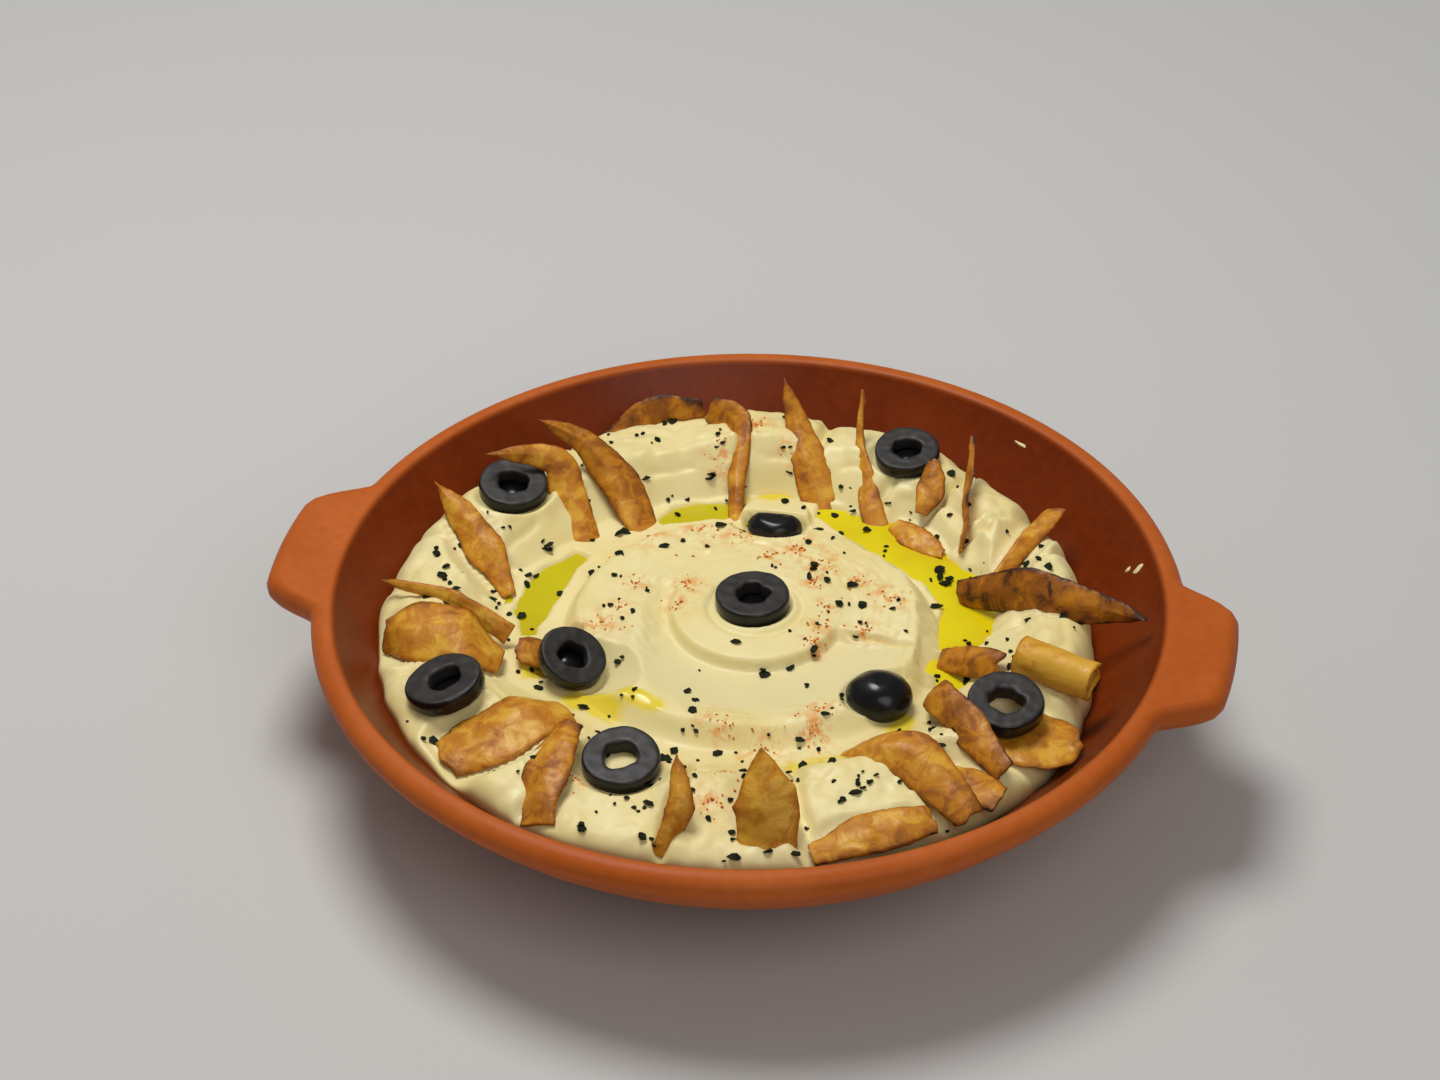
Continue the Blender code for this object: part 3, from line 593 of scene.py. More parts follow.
def surface_level(x, y):
    """Level of the spooned paste at a place, before the wall rounds it off."""
    angle, radius, from_button = place_on_paste(x, y)
    front = 0.5 + 0.5 * np.cos(np.radians(angle - FRONT))

    begins, full, fades, ended = GROOVE_TURN
    groove = smooth(begins, full, angle) * fade(fades, ended, angle)
    groove_edge = GROOVE_OUTER[0] + (GROOVE_OUTER[1] - GROOVE_OUTER[0]) * smooth(*GROOVE_WIDENS, angle)
    trough = groove * fade(GROOVE_INNER, groove_edge, from_button)
    button = fade(BUTTON_RADIUS - 0.6, BUTTON_RADIUS + 1, from_button)
    lip = GROOVE_LIP * groove * bell(from_button, groove_edge, 3.5)
    mound_top = MOUND_LEVEL - GROOVE_DEPTH * trough + lip
    mound_top = mound_top * (1 - button) + (BUTTON_LEVEL - BUTTON_CROWN * from_button ** 2) * button

    deep = np.maximum(1 - front ** 0.8, swell(angle, 195, 26))
    moat = MOAT_LEVEL - MOAT_DEPTH * np.clip(deep * 1.5, 0, 1)
    mound_edge = MOUND_RADIUS + MOUND_FRONT * front - MOUND_BACK * swell(angle, 95, 40)
    mound_end = mound_edge + MOUND_FADE[1]
    mound = mound_top + (moat - mound_top) * smooth(mound_edge - MOUND_FADE[0], mound_end, radius)

    crest = crest_radius(angle) + 6 * swell(angle, 178, 35)
    crest_level = (BANK_LEVEL - 1.2 * front + 0.54 * np.sin(np.radians(5 * angle))
                   + 0.5 * np.sin(np.radians(11 * angle + 70)))
    foot = BANK_FOOT + 2.5 * front + 4 * swell(angle, 185, 30)
    bank = moat + (crest_level - moat) * smooth(foot, crest, radius)
    bank = bank - BANK_FALL * smooth(crest, BANK_OUTER, radius)
    return np.where(radius < mound_end, mound, bank)


def edge_level(angle):
    return EDGE_LEVEL + EDGE_TILT * np.cos(np.radians(angle - 250)) - EDGE_DIP * swell(angle, 8, 40)


# directions in which the bank is broken, with the height and the lean of the block before each
BLOCKS = ((8, 0.3, -0.8), (27, -0.5, 1.4), (41, 0.5, -1.2), (55, -0.4, 0.8), (68, -0.6, 0.6),
    (86, 0.2, -0.8), (104, 0.7, 0.6), (135, 0.9, -0.5), (147, -0.8, 1), (170, 0.6, -1),
    (196, 0.2, 0.9), (207, -0.6, 0), (231, -0.4, 0.4), (246, 1, -0.6), (268.5, 0.4, 0.8),
    (291, 0.7, -0.8), (311, 0.5, 0.9), (329, -0.2, -0.6))
BLOCK_CUT = 1.7  # depth of the cleft between two blocks
BLOCK_LIFT = 0.7  # blocks stand this far over the plain bank
KNOB = (41, 64)  # where a knobbly lump stands on the bank
CREST_RIDGE = 1.3  # the bank's crest is drawn up into a ridge


def block_marks(angle, radius):
    """Height of the bank's separate blocks over its plain surface."""
    table = np.array(BLOCKS, float)
    index = np.searchsorted(table[:, 0], angle) % len(table)
    low = table[index - 1, 0]
    span = (table[index, 0] - low) % 360
    share = ((angle - low) % 360) / span
    reach = np.minimum(share, 1 - share) * np.radians(span) * radius
    rise = table[index, 1] + table[index, 2] * (share - 0.5) * 1.6
    return (rise + BLOCK_LIFT) * smooth(0, 2.6, reach) - BLOCK_CUT * bell(reach, 0, 1.2)


def basin(angle, radius, stations, ragged):
    """Level to which the paste is hollowed under a pool of oil."""
    table = np.array(stations)
    order = np.argsort(table[:, 0])
    middle = (table[0, 0] + table[-1, 0]) / 2
    turn = middle + turn_from(angle, middle)
    inner = np.interp(turn, table[order, 0], table[order, 1])
    outer = np.interp(turn, table[order, 0], table[order, 2])
    past = np.maximum(table[order[0], 0] - turn, turn - table[order[-1], 0])
    outside = np.maximum(np.maximum(inner - radius, radius - outer), np.radians(past) * radius) + ragged
    return OIL_LEVEL - BASIN_DEPTH + 1.05 * np.maximum(outside + 1.2, 0)


def spoon_marks(x, y):
    """Finer shape of the paste: blocks and crags on the bank, fine sweeps on the mound."""
    angle, radius, from_button = place_on_paste(x, y)
    slow = wobble(x, y, 0, 17, 3.1)
    medium = wobble(x, y, 0, 6.5, 8.7)
    fine = wobble(x, y, 0, 2.2, 1.3)
    on_bank = smooth(50, 57, radius)
    wander = (angle + 100 * (0.9 * medium + 0.7 * slow) / np.maximum(radius, 20)) % 360
    blocks = on_bank * block_marks(wander, radius)
    crest = crest_radius(angle) + 1.6 * medium
    ridge = CREST_RIDGE * np.exp(-np.maximum(crest - radius, (radius - crest) * 0.28) ** 2 / 7)
    fold = -0.7 * bell(radius, crest - 4.5, 0.8) * smooth(0, 0.35, medium + 0.1)
    crags = on_bank * smooth(57, 64, radius) * (1.2 * np.abs(medium) + 0.42 * fine + 0.5 * slow)
    past_button = smooth(BUTTON_RADIUS + 1, BUTTON_RADIUS + 3, from_button)
    on_mound = fade(40, 46, radius) * past_button
    in_groove = (smooth(215, 240, angle) * fade(345, 352, angle)
                 * fade(34, 38, radius))
    swept = wobble(from_button * 1.2, np.radians(angle) * 9, 0, 1.5, 4.4)
    ripples = on_mound * (1 - 0.85 * in_groove) * (0.34 * swept + 0.45 * medium + 0.16 * fine)
    crease = (-1.8 * swell(angle, 352.6 + 1.6 * slow, 1.6) * smooth(21, 25, from_button)
              * fade(42, 50, radius))
    sunk = -0.9 * bell(from_button, 10.6, 1.1)
    top = (0.20 * medium + 0.08 * fine) * fade(17, 19.5, from_button)
    knob = polar(*KNOB)
    apart = np.hypot(x - knob.x, y - knob.y)
    lump = fade(3, 5, apart) * (1.1 + 1 * fine + 0.5 * medium)
    return blocks + on_bank * (ridge + fold) + crags + ripples + crease + top + sunk + lump + 0.2 * slow


def pressed_by_olives(x, y, level):
    """The paste sinks under each olive, deeper inside a hole that ends in a dark disc of painted shadow."""
    for name, (angle, radius, middle, tilt, towards, size) in OLIVE_SLICES.items():
        centre = polar(angle, radius, middle)
        turn, lean = math.radians(towards), math.tan(math.radians(tilt))
        across, beside = x - centre.x, y - centre.y
        plane = middle - lean * (across * math.cos(turn) + beside * math.sin(turn))
        reach = np.hypot(across, beside) / size
        depth = 1.5 + (1.7 * fade(5.6, 7.4, reach) if name in OLIVE_SHADOW_WELLS else 0)
        level = np.minimum(level, plane - depth + 1 * np.maximum(reach - OLIVE_RADIUS + 0.2, 0))
    for name, (angle, radius, middle, half_width, half_height) in OLIVE_ENDS.items():
        centre = polar(angle, radius, middle)
        reach = np.hypot(x - centre.x, y - centre.y)
        pressed = np.minimum(level, middle - 0.5 + 1 * np.maximum(reach - half_width, 0))
        if name == "olive_end_back":
            beyond = smooth(radius - 0.4, radius + 0.5, np.hypot(x, y)) * fade(7.5, 9, reach)
            lap = middle + OLIVE_CUT_SHARE * half_height + 0.6
            pressed = pressed * (1 - beyond) + np.maximum(level, lap) * beyond
        level = pressed
    return level


def pressed_by_chips(x, y, level):
    """The paste sinks under the chips that lie on it."""
    for name in LYING_CHIPS:
        shape = CHIPS[name]
        for t, centre, _, side, _ in chip_frames(shape)[::3]:
            width = float(along([[w] for w in shape[1]], t)[0]) / 2
            for u in np.linspace(-1, 1, 7):
                spot = centre + side * width * u
                near = np.nonzero((np.abs(x - spot.x) < 5) & (np.abs(y - spot.y) < 5))
                reach = np.hypot(x[near] - spot.x, y[near] - spot.y)
                under = spot.z - RIM_LEVEL - 0.9 + 1.1 * np.maximum(reach - 1.8, 0)
                level[near] = np.minimum(level[near], under)
    return level


def paste_surface(x, y):
    """Level of the finished paste, with the hollows under its oil and toppings."""
    angle, radius, _ = place_on_paste(x, y)
    level = surface_level(x, y) + spoon_marks(x, y)
    moat_floor = OIL_LEVEL + 1 + 0.6 * wobble(x, y, 0, 8, 9)
    level = np.where(radius < 70, np.maximum(level, moat_floor), level)
    ragged = 1.1 * wobble(x, y, 0, 4.5, 12) + 0.3 * wobble(x, y, 0, 1.6, 2)
    for stations in OIL_POOLS.values():
        level = np.minimum(level, np.maximum(basin(angle, radius, stations, ragged), OIL_LEVEL - BASIN_DEPTH))
    return pressed_by_chips(x, y, pressed_by_olives(x, y, level))


# hollows that hold oil: angle, inner radius and outer radius along each
OIL_POOLS = {
    "oil_right": ((81, 47, 51), (66, 41.5, 52), (53, 41.5, 51.5), (39, 43.5, 55),
                  (27, 45.5, 57.5), (20, 45.5, 57.5), (10, 43.5, 55), (2, 44.5, 51)),
    "oil_right_low": ((-3, 45.5, 51), (-9, 45.5, 52), (-16, 47, 51)),
    "oil_left": ((156, 47.5, 50), (170, 46, 54), (184, 47, 54.5), (193, 49, 51.5)),
    "oil_back": ((128, 46, 48.5), (118, 44.2, 50.5), (110, 43.8, 49.5), (103, 44.5, 47)),
}


# places where oil lies as a thin film: angle, radius, half size across, half size along the ring
OIL_FILMS = ((297, 54, 4, 9), (303, 57.5, 3, 5), (234, 45, 3.5, 7), (245, 40, 2.5, 8),
    (226, 47, 3.5, 5), (324, 50, 3.5, 4.5), (95, 49, 2.5, 7), (350, 50, 4.5, 7),
    (208, 51, 4, 5), (20, 49, 5, 12), (50, 49, 4, 14), (176, 50, 3, 9),
    (118, 48, 2.5, 7))
# paprika: angle, radius and half size of each dusting
SPICE = ((160, 17, 4), (182, 16, 3.5), (199, 34, 4.5), (190, 30, 3), (60, 24, 6), (75, 27, 5),
    (35, 28, 4), (15, 18, 3), (350, 17, 3.5), (330, 19, 3), (120, 33, 6), (105, 30, 5),
    (140, 38, 5), (20, 33, 5), (272, 41, 4.5), (300, 44, 4.5), (305, 39, 3.5), (262, 55, 4),
    (276, 60, 3.5), (275, 70, 4.5), (283, 68, 3), (100, 66, 3.5), (92, 60, 3), (108, 58, 4),
    (356, 27, 3.5), (285, 48, 5), (250, 72, 3), (170, 28, 3), (45, 18, 3), (90, 21, 3.5))


def spots(x, y, table, seed):
    """Strength from 0 to 1 of a set of soft spots with ragged edges."""
    ragged = 1 + 0.35 * wobble(x, y, 0, 3, seed)
    total = np.zeros_like(x)
    for entry in table:
        centre = polar(entry[0], entry[1])
        turn = math.radians(entry[0])
        across = (x - centre.x) * math.cos(turn) + (y - centre.y) * math.sin(turn)
        beside = -(x - centre.x) * math.sin(turn) + (y - centre.y) * math.cos(turn)
        wide = entry[3] if len(entry) > 3 else entry[2]
        total = np.maximum(total, np.exp(-((across / entry[2]) ** 2 + (beside / wide) ** 2) * ragged))
    return np.clip(total, 0, 1)


FINISHED = []  # levels of the made surface and its outer radius, for what lies on it


def make_hummus(material):
    angles = np.arange(HUMMUS_TURNS) * 360 / HUMMUS_TURNS
    turn = np.radians(angles)
    centre = wall_in_centre()
    skin = WALL_IN_RADIUS - SKIN_GAP
    edge = edge_level(angles) + 0.9 * wobble(90 * np.cos(turn), 90 * np.sin(turn), 0, 9, 5)
    edge_turn = np.arcsin((centre[1] - RIM_LEVEL - edge) / skin)
    edge_radius = centre[0] + skin * np.cos(edge_turn)
    share = (np.arange(HUMMUS_RINGS) + 1) / HUMMUS_RINGS
    radius = share[:, None] * edge_radius[None, :]
    x, y = radius * np.cos(turn), radius * np.sin(turn)
    level = paste_surface(x, y)
    near = np.clip((radius - edge_radius + EDGE_BAND) / EDGE_BAND, 0, 1)
    level = edge + (level - edge) * np.sqrt(1 - near ** 2.4)
    FINISHED.append((level, edge_radius))
    points = [(0, 0, RIM_LEVEL + BUTTON_LEVEL)]
    points += list(zip(x.ravel(), y.ravel(), (RIM_LEVEL + level).ravel()))
    for step in range(1, UNDER_RINGS + 1):
        down = edge_turn + (math.radians(89) - edge_turn) * step / UNDER_RINGS
        reach = centre[0] + skin * np.cos(down)
        points += list(zip(reach * np.cos(turn), reach * np.sin(turn), centre[1] - skin * np.sin(down)))
    points.append((0, 0, centre[1] - skin))
    hidden = np.zeros(UNDER_RINGS * HUMMUS_TURNS + 1)

    angle, _, from_button = place_on_paste(x, y)
    groove = smooth(170, 235, angle) * fade(349, 353, angle)
    pressed = (groove * smooth(BUTTON_RADIUS, BUTTON_RADIUS + 1.5, from_button)
               * fade(33, 41, from_button))
    fields = {"oily": spots(x, y, OIL_FILMS, 2), "spiced": spots(x, y, SPICE, 6), "pressed": pressed}
    fields = {key: np.concatenate([[0], field.ravel(), hidden]) for key, field in fields.items()}
    faces = ring_faces(HUMMUS_RINGS + UNDER_RINGS, HUMMUS_TURNS)
    mesh_piece("hummus_paste", points, faces, material, ("hummus",), fields)


def paste_level(x, y):
    """Level of the finished surface at one place."""
    level, edge_radius = FINISHED[0]
    column = int(math.degrees(math.atan2(y, x)) % 360 / 360 * HUMMUS_TURNS) % HUMMUS_TURNS
    ring = int(math.hypot(x, y) / edge_radius[column] * HUMMUS_RINGS) - 1
    return float(level[min(max(ring, 0), HUMMUS_RINGS - 1), column])


# ---------------- oil
OIL_END = 2.5  # degrees it runs on past each end
OIL_UNDER = 3  # the sheet of oil runs this far under the paste's edge
OIL_TOP = 0.25  # its upper and lower side, from the oil's level
OIL_BOTTOM = -1.5
OIL_SECTIONS = 90
OIL_ACROSS = 22
OIL_DEEP = 0.55  # how green the deeper pools are
OIL_NODES = {"oil_right": ("oil_right",), "oil_right_low": ("oil_right_front",),
             "oil_left": ("oil_left",), "oil_back": ("oil_back",)}


def make_oil():
    """Each pool is a thin level sheet that runs on under the paste round it."""
    material = oil_look()
    faces = sheet_faces(OIL_SECTIONS, OIL_ACROSS)
    for name, stations in OIL_POOLS.items():
        table = np.array(stations)
        onward = math.copysign(OIL_END, table[-1, 0] - table[0, 0])
        points = []
        for t in np.linspace(0, 1, OIL_SECTIONS):
            angle, inner, outer = along(table, t)
            angle += onward * (2 * t - 1)
            reach = np.linspace(inner - OIL_UNDER, outer + OIL_UNDER, OIL_ACROSS)
            points += [polar(angle, radius, OIL_LEVEL + OIL_TOP) for radius in reach]
            points += [polar(angle, radius, OIL_LEVEL + OIL_BOTTOM) for radius in reach[::-1]]
        deep = [OIL_DEEP if name in ("oil_left", "oil_back") else 0] * len(points)
        mesh_piece(name + "_pool", points, faces, material, OIL_NODES[name], {"deep": deep})


# ---------------- olives
SLICE_TURNS = 72
SLICE_CORNERS = (0.62, 0.42)  # the lower, the squarer the slice's section is across and up
SLICE_SECTION = 30
SLICE_DISHING = 0.35  # the cut faces are hollowed this much
END_TURNS = 56
END_RINGS = 28
END_OVAL = 0.92  # an olive's end is this much narrower one way
END_DIMPLE = 0.35


def slice_section():
    """Section of a ring slice: a soft-cornered bar with bulging outer skin."""
    middle = (OLIVE_RADIUS + OLIVE_HOLE) / 2
    half_width = (OLIVE_RADIUS - OLIVE_HOLE) / 2
    across, up = SLICE_CORNERS
    return [(middle + half_width * math.copysign(abs(c) ** across, c),
             OLIVE_HALF * math.copysign(abs(s) ** up, s)) for c, s in around(SLICE_SECTION)]


def make_slice(name, place, seed, material):
    """One ring slice of a pitted olive, with a dark disc of painted shadow under its hole where it has one.
    """
    angle, radius, level, tilt, towards, size = place
    section = slice_section()
    pose = (Matrix.Translation(polar(angle, radius, level))
            @ Matrix.Rotation(math.radians(tilt), 4, Vector((0, 0, 1)).cross(heading((towards, 0)))))
    points, skin = [], []
    for c, s in around(SLICE_TURNS):
        outer_wave = 0.384 * noise.noise(Vector((c * 1.2, s * 1.2, seed * 3.7)))
        hole_wave = 0.9 * noise.noise(Vector((c * 1.5, s * 1.5, seed * 5.1 + 2)))
        for r, z in section:
            out = (r - OLIVE_HOLE) / (OLIVE_RADIUS - OLIVE_HOLE)
            r = r + (outer_wave - 0.25) * out + hole_wave * (1 - out)
            lump = 0.16 * noise.noise(Vector((c * r, s * r, z)) * 0.5 + Vector((seed * 7, 0, 0)))
            if abs(z) > OLIVE_HALF * 0.8:
                z -= SLICE_DISHING * math.sin(math.pi * min(max(out, 0), 1)) * math.copysign(1, z)
            points.append(pose @ (Vector((r * c, r * s, z + lump)) * size))
            skin.append(float(smooth(0.90, 0.985, out)))
    faces = tube_faces(SLICE_TURNS, len(section), closed=True)
    # a dark disc coloured like the black skin closes the hole as painted shadow
    if name in OLIVE_SHADOW_WELLS:
        first = len(points)
        points += [pose @ (Vector((WELL_REACH * c, WELL_REACH * s, depth)) * size)
                   for depth in WELL_LEVELS for c, s in around(WELL_STEPS)]
        skin += [1] * (2 * WELL_STEPS)
        faces += [tuple(range(first, first + WELL_STEPS)),
                  tuple(range(first + 2 * WELL_STEPS - 1, first + WELL_STEPS - 1, -1))]
        faces += [tuple(index + first for index in face) for face in tube_faces(2, WELL_STEPS)]
    mesh_piece(name + "_slice", points, faces, material, (name,), {"skin": skin})


def make_end(name, place, seed, material):
    """One rounded end of an olive, cut flat on top where it lies at the back."""
    angle, radius, level, half_width, half_height = place
    centre = polar(angle, radius, level)
    flat = OLIVE_CUT_SHARE * half_height if name == "olive_end_back" else half_height
    points = [centre + Vector((0, 0, min(flat, half_height - END_DIMPLE)))]
    for ring in range(1, END_RINGS + 1):
        down = math.pi * ring / (END_RINGS + 1)
        for c, s in around(END_TURNS):
            spot = Vector((math.sin(down) * c, math.sin(down) * s * END_OVAL, math.cos(down)))
            dent = 0.30 * noise.noise(spot * 1.6 + Vector((seed * 4, 0, 0)))
            height = spot.z * (half_height + dent) - END_DIMPLE * math.exp(-(down / 0.22) ** 2)
            if name == "olive_end_back":
                height = min(height, flat)
            width = half_width + dent
            points.append(centre + Vector((spot.x * width, spot.y * width, height)))
    points.append(centre - Vector((0, 0, half_height)))
    mesh_piece(name + "_cap", points, ring_faces(END_RINGS, END_TURNS), material, (name,),
               {"skin": [1] * len(points)})


def make_olives():
    material = olive_look()
    for make, table in ((make_slice, OLIVE_SLICES), (make_end, OLIVE_ENDS)):
        for seed, (name, place) in enumerate(table.items()):
            make(name, place, seed, material)


# ---------------- fried bread
def chip_frames(shape):
    path, _, side_foot, side_tip = shape[:4]
    points_on_path = [polar(*place) for place in path]
    frames = []
    for i in range(CHIP_SECTIONS):
        t = i / (CHIP_SECTIONS - 1)
        centre = Vector(along(points_on_path, t))
        ahead = Vector(along(points_on_path, min(t + 0.05, 1)))
        behind = Vector(along(points_on_path, max(t - 0.05, 0)))
        forward = (ahead - behind).normalized()
        side = heading(side_foot).lerp(heading(side_tip), t)
        side = (side - forward * side.dot(forward)).normalized()
        frames.append((t, centre, forward, side, forward.cross(side)))
    upper = 1 if frames[CHIP_SECTIONS // 2][4].z > 0 else -1
    return [(t, centre, forward, side, face * upper) for t, centre, forward, side, face in frames]


def make_chips():
    material = bread_look()
    faces = sheet_faces(CHIP_SECTIONS, CHIP_ACROSS)
    row = np.linspace(-1, 1, CHIP_ACROSS).tolist()
    for seed, (name, shape) in enumerate(CHIPS.items()):
        widths, bow, toasting = shape[1], shape[4], shape[5]
        shift = Vector((seed * 5.3, seed * 2.1, 0))
        pointed = widths[-1] < 2.5
        lopsided = 0.45 * noise.noise(shift * 1.7 + Vector((0.4, 0.2, 0.9)))
        points, toast = [], []
        for t, centre, forward, side, face in chip_frames(shape):
            width = float(along([[w] for w in widths], t)[0]) / 2
            if pointed and t > TIP_START:
                width *= 1 - 0.8 * ((t - TIP_START) / (1 - TIP_START)) ** 1.5
            bowed = bow * math.sin(math.pi * (0.15 + 0.7 * t))
            end = float(smooth(0.75, 1, t))
            edges = {}
            for sign in (-1, 1):
                corner = 0.5 - 2.2 * abs(noise.noise(Vector((t * 2.6, seed * 1.7, 4 * sign))))
                nick = noise.noise(centre * 0.8 + shift * sign)
                swell = 1 + sign * lopsided * math.sin(math.pi * t)
                edges[sign] = width * (swell + 0.13 * corner) + 0.20 * nick
            for sign in (1, -1):
                for u in (row if sign > 0 else row[::-1]):
                    reach = edges[1] if u > 0 else edges[-1]
                    spot = centre + side * reach * u
                    curl = bowed * (0.5 - 0.7 * abs(u) - 0.3 * abs(u) ** 2)
                    wave = 0.9 * noise.noise(spot * 0.11 + shift) + 0.22 * noise.noise(spot * 0.42 + shift)
                    blister = max(0, noise.noise(spot * 0.5 + shift * sign) - 0.2) * 0.55
                    thick = (CHIP_HALF + blister) * (1 - 0.6 * abs(u) ** 8)
                    jag = 0 if pointed else 1.3 * end * noise.noise(Vector((u * 1.3, seed * 3.3, 0.5)))
                    points.append(spot + face * (curl + wave + sign * thick) + forward * jag)
                    burnt_edge = 0.34 * abs(u) ** 8 + 0.28 * float(smooth(0.85, 1, t))
                    toast.append(toasting + burnt_edge + 0.30 * noise.noise(spot * 0.22 + shift))
        mesh_piece(name + "_shard", points, faces, material, (name,), {"toast": toast})
    make_roll(material)


ROLL_ENDS = ((350.5, 64, 0.2), (348.8, 83.2, -1.2))
ROLL_RADIUS = 4.25  # middle of the sheet where its winding begins
ROLL_CLOSING = 2  # the radius shrinks this much over the winding
ROLL_HALF = 0.55  # half the sheet's thickness
ROLL_WINDING = 1.45  # full turns it makes
ROLL_START = 0.6  # direction of its free edge, in radians
ROLL_SECTIONS = 26
ROLL_ACROSS = 90


def make_roll(material):
    """The rolled-up chip: one sheet wound a turn and a half round itself."""
    start, end = (polar(*place) for place in ROLL_ENDS)
    axis = (end - start).normalized()
    pose = Matrix.Translation((start + end) / 2) @ axis.to_track_quat("Z", "Y").to_matrix().to_4x4()
    half = (end - start).length / 2
    row = np.linspace(0, 1, ROLL_ACROSS).tolist()
    points, toast = [], []
    for t in np.linspace(-1, 1, ROLL_SECTIONS).tolist():
        for sign, winding in ((1, row), (-1, row[::-1])):
            for u in winding:
                turn = 2 * math.pi * ROLL_WINDING * u + ROLL_START
                c, s = math.cos(turn), math.sin(turn)
                wave = 0.35 * noise.noise(Vector((t * 2, c, s)))
                radius = ROLL_RADIUS - ROLL_CLOSING * u + wave + sign * ROLL_HALF
                ragged = 0.7 * noise.noise(Vector((u * 9, 3, t))) * abs(t) ** 8
                spot = Vector((radius * c, radius * s, t * (half - 0.6) + ragged))
                points.append(pose @ spot)
                toast.append(-0.02 + 0.22 * float(smooth(0.4, -1, t)) + 0.15 * noise.noise(spot * 0.3)
                             + 0.3 * abs(t) ** 12)
    faces = sheet_faces(ROLL_SECTIONS, ROLL_ACROSS)
    mesh_piece("chip_right_roll_sheet", points, faces, material, ("chip_right_roll",),
               {"toast": toast})


# ---------------- herbs and paprika
FLAKE_SIDES = 6
HERB_COUNT = 470
HERB_SEED = 7
SPECKS_PER_DUSTING = 14
CLEAR_OF_OLIVE = 10.5  # no paprika lies nearer the middle than this


def flake(rng, spot, size, thickness):
    """Points and faces of one torn, slightly folded flake lying on the paste."""
    tip = rng.uniform(-0.5, 0.5)
    axis = Vector((rng.uniform(-1, 1), rng.uniform(-1, 1), 0.2)).normalized()
    lean = Matrix.Rotation(tip, 3, axis)
    stretch = rng.uniform(0.45, 0.9)
    spin = rng.uniform(0, 2 * math.pi)
    ring = []
    for c, s in around(FLAKE_SIDES):
        reach = size * rng.uniform(0.65, 1.1)
        u, v = reach * c, reach * s * stretch
        ring.append(Vector((u * math.cos(spin) - v * math.sin(spin), u * math.sin(spin) + v * math.cos(spin),
                            0.25 * abs(v))))
    points = [spot + lean @ (p + Vector((0, 0, z))) for z in (thickness, -thickness) for p in ring]
    faces = [tuple(range(FLAKE_SIDES)), tuple(range(2 * FLAKE_SIDES - 1, FLAKE_SIDES - 1, -1))]
    faces += tube_faces(2, FLAKE_SIDES)
    return points, faces


def scatter(name, places, material):
    points, faces = [], []
    for part_points, part_faces in places:
        first = len(points)
        points += part_points
        faces += [tuple(index + first for index in face) for face in part_faces]
    piece = mesh_piece(name, points, faces, material)
    piece.data.shade_flat()


def lying_at(angle, radius, lift):
    place = polar(angle, radius)
    return Vector((place.x, place.y, RIM_LEVEL + paste_level(place.x, place.y) + lift))


def make_sprinkles():
    rng = random.Random(HERB_SEED)
    herbs = []
    while len(herbs) < HERB_COUNT:
        angle, radius = rng.uniform(0, 360), 85 * math.sqrt(rng.random())
        in_groove = 200 < angle < 350 and 21 < radius < 38
        if (radius < 11 or (in_groove and rng.random() < 0.82) or (radius < 45 and rng.random() < 0.25)
                or (radius > 76 and not 215 < angle < 330) or (angle < 200 and rng.random() < 0.3)):
            continue
        spot = lying_at(angle, radius, 0.15)
        spot.z = max(spot.z, RIM_LEVEL + OIL_LEVEL + 0.4)
        herbs.append(flake(rng, spot, rng.choice((0.5, 0.8, 1.1, 1.6)), 0.13))
        if rng.random() < 0.25:
            near = lying_at(angle + rng.uniform(-2, 2), radius + rng.uniform(-1.5, 1.5), 0.3)
            herbs.append(flake(rng, near, rng.uniform(0.5, 1), 0.12))
    for angle, radius in ((34, 50.5), (36, 49), (38.5, 50), (32.5, 49)):
        herbs.append(flake(rng, polar(angle, radius, OIL_LEVEL + 0.6), 1.6, 0.2))
    for angle, radius in ((0.5, 81.7), (359, 83), (1.6, 80.2), (314.8, 87.2), (313.2, 86.4)):
        herbs.append(flake(rng, lying_at(angle, radius, 0.5), 1.7, 0.2))
    scatter("herb_flakes", herbs, speck_look("dried_herbs", HERB_DARK, HERB, 0.75))
    specks = []
    for angle, radius, size in SPICE * SPECKS_PER_DUSTING:
        turn, reach = rng.uniform(0, 2 * math.pi), size * abs(rng.gauss(0, 0.6))
        centre = polar(angle, radius)
        x, y = centre.x + reach * math.cos(turn), centre.y + reach * math.sin(turn)
        if math.hypot(x, y) < CLEAR_OF_OLIVE:
            continue
        spot = Vector((x, y, RIM_LEVEL + paste_level(x, y) + 0.05))
        specks.append(flake(rng, spot, rng.uniform(0.18, 0.42), 0.10))
    scatter("paprika_specks", specks, speck_look("paprika", PAPRIKA, PAPRIKA_DARK, 0.7))


# ---------------- camera, light and floor
CAMERA_AZIMUTH = 11.5
CAMERA_ELEVATION = 37.4
CAMERA_DISTANCE = 0.900
SENSOR = 36
LENS = 98.66
SHIFT_X = -0.0203  # share of the frame's width the dish sits to the right
SHIFT_Y = 0.0365  # share of the frame's width the dish sits low


def make_camera():
    azimuth, elevation = math.radians(CAMERA_AZIMUTH), math.radians(CAMERA_ELEVATION)
    back = Vector((math.sin(azimuth) * math.cos(elevation), -math.cos(azimuth) * math.cos(elevation),
                   math.sin(elevation)))
    camera = bpy.data.cameras.new("camera")
    camera.sensor_width = SENSOR
    camera.lens = LENS
    camera.shift_x = SHIFT_X
    camera.shift_y = SHIFT_Y
    camera.clip_start = 0.01
    rig = bpy.data.objects.new("camera", camera)
    rig.location = Vector((0, 0, RIM_LEVEL * MM)) + back * CAMERA_DISTANCE
    rig.rotation_euler = back.to_track_quat("Z", "Y").to_euler()
    bpy.context.scene.collection.objects.link(rig)
    bpy.context.scene.camera = rig


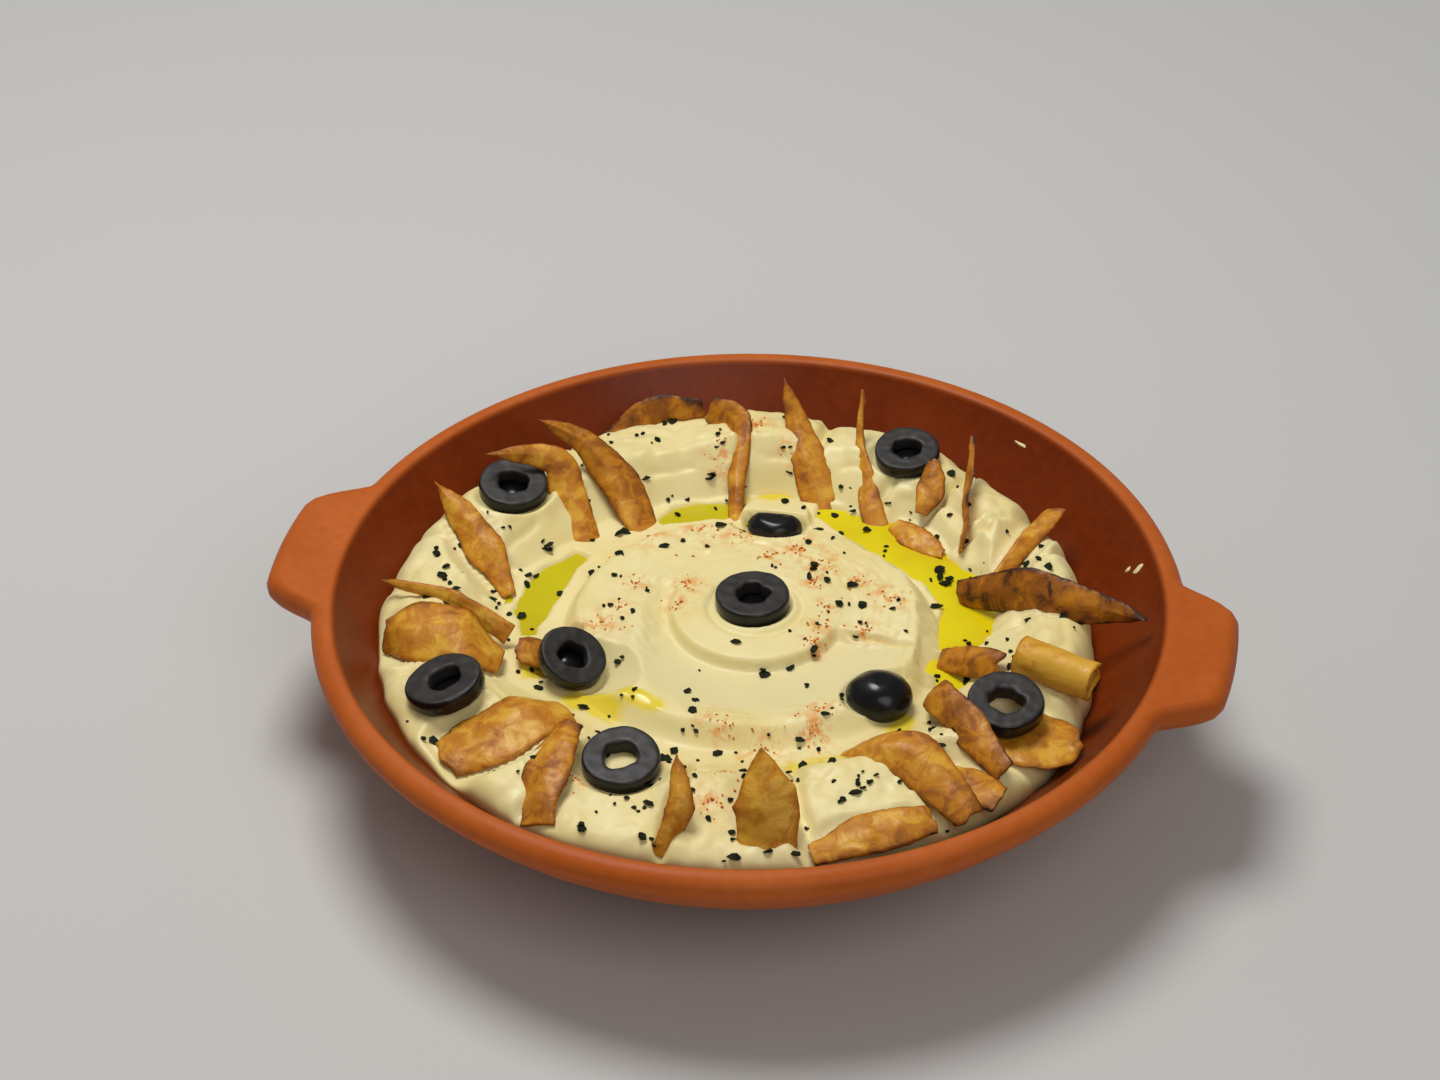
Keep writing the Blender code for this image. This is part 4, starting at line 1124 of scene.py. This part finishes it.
def make_light(name, place, size, power):
    light = bpy.data.lights.new(name, "AREA")
    light.shape = "DISK"
    light.size = size
    light.energy = power
    lamp = bpy.data.objects.new(name, light)
    lamp.location = place
    lamp.rotation_euler = Vector(place).to_track_quat("Z", "Y").to_euler()
    bpy.context.scene.collection.objects.link(lamp)


def make_room():
    bpy.ops.mesh.primitive_plane_add(size=6, location=(0, 0, -0.0005))
    floor = bpy.context.object
    floor.name = "floor"
    look = Look("pale_floor", 0.8)
    look.colour(look.mix(look.noise(3), linear(196, 194, 190), linear(202, 200, 196)))
    floor.data.materials.append(look.material)
    make_light("key", (-0.20, 0.20, 0.86), 0.40, 5.6)
    make_light("fill", (0.45, -0.75, 0.80), 0.8, 3)
    world = bpy.data.worlds.new("studio")
    world.use_nodes = True
    world.node_tree.nodes["Background"].inputs["Color"].default_value = (1, 1, 1, 1)
    world.node_tree.nodes["Background"].inputs["Strength"].default_value = 0.18
    bpy.context.scene.world = world
    bpy.context.scene.view_settings.view_transform = "Standard"


# dabs of paste left on the inner wall: angle, level, half width, half height
SMEARS = ((21, -4.6, 1.1, 2.2), (22.6, -6.6, 0.7, 1.2), (56, -4.2, 2.2, 0.5))
SMEAR_HEIGHT = 0.45
SMEAR_TURNS = 20
SMEAR_RINGS = 6


def make_smears(material):
    centre = wall_in_centre()
    points, faces = [], []
    for seed, (angle, level, half_width, half_height) in enumerate(SMEARS):
        down = math.asin((centre[1] - RIM_LEVEL - level) / WALL_IN_RADIUS)
        middle = polar(angle, centre[0] + WALL_IN_RADIUS * math.cos(down), level)
        across = heading((angle + 90, 0))
        outward = heading((angle, 0)) * math.cos(down) - Vector((0, 0, math.sin(down)))
        upward = outward.cross(across) * -1
        first = len(points)
        points.append(middle - outward * SMEAR_HEIGHT)
        for ring in range(1, SMEAR_RINGS + 1):
            share = ring / SMEAR_RINGS
            for c, s in around(SMEAR_TURNS):
                reach = share * (1 + 0.5 * noise.noise(Vector((c, s, seed * 3))))
                points.append(middle + across * half_width * reach * c + upward * half_height * reach * s
                              - outward * (SMEAR_HEIGHT * (1 - share ** 2) - 0.1 * share))
        points.append(middle + outward * 0.2)
        faces += [tuple(index + first for index in face) for face in ring_faces(SMEAR_RINGS, SMEAR_TURNS)]
    mesh_piece("paste_smears", points, faces, material)


make_camera()
make_room()
make_dish()
paste = hummus_look()
make_hummus(paste)
make_oil()
make_olives()
make_chips()
make_sprinkles()
make_smears(paste)
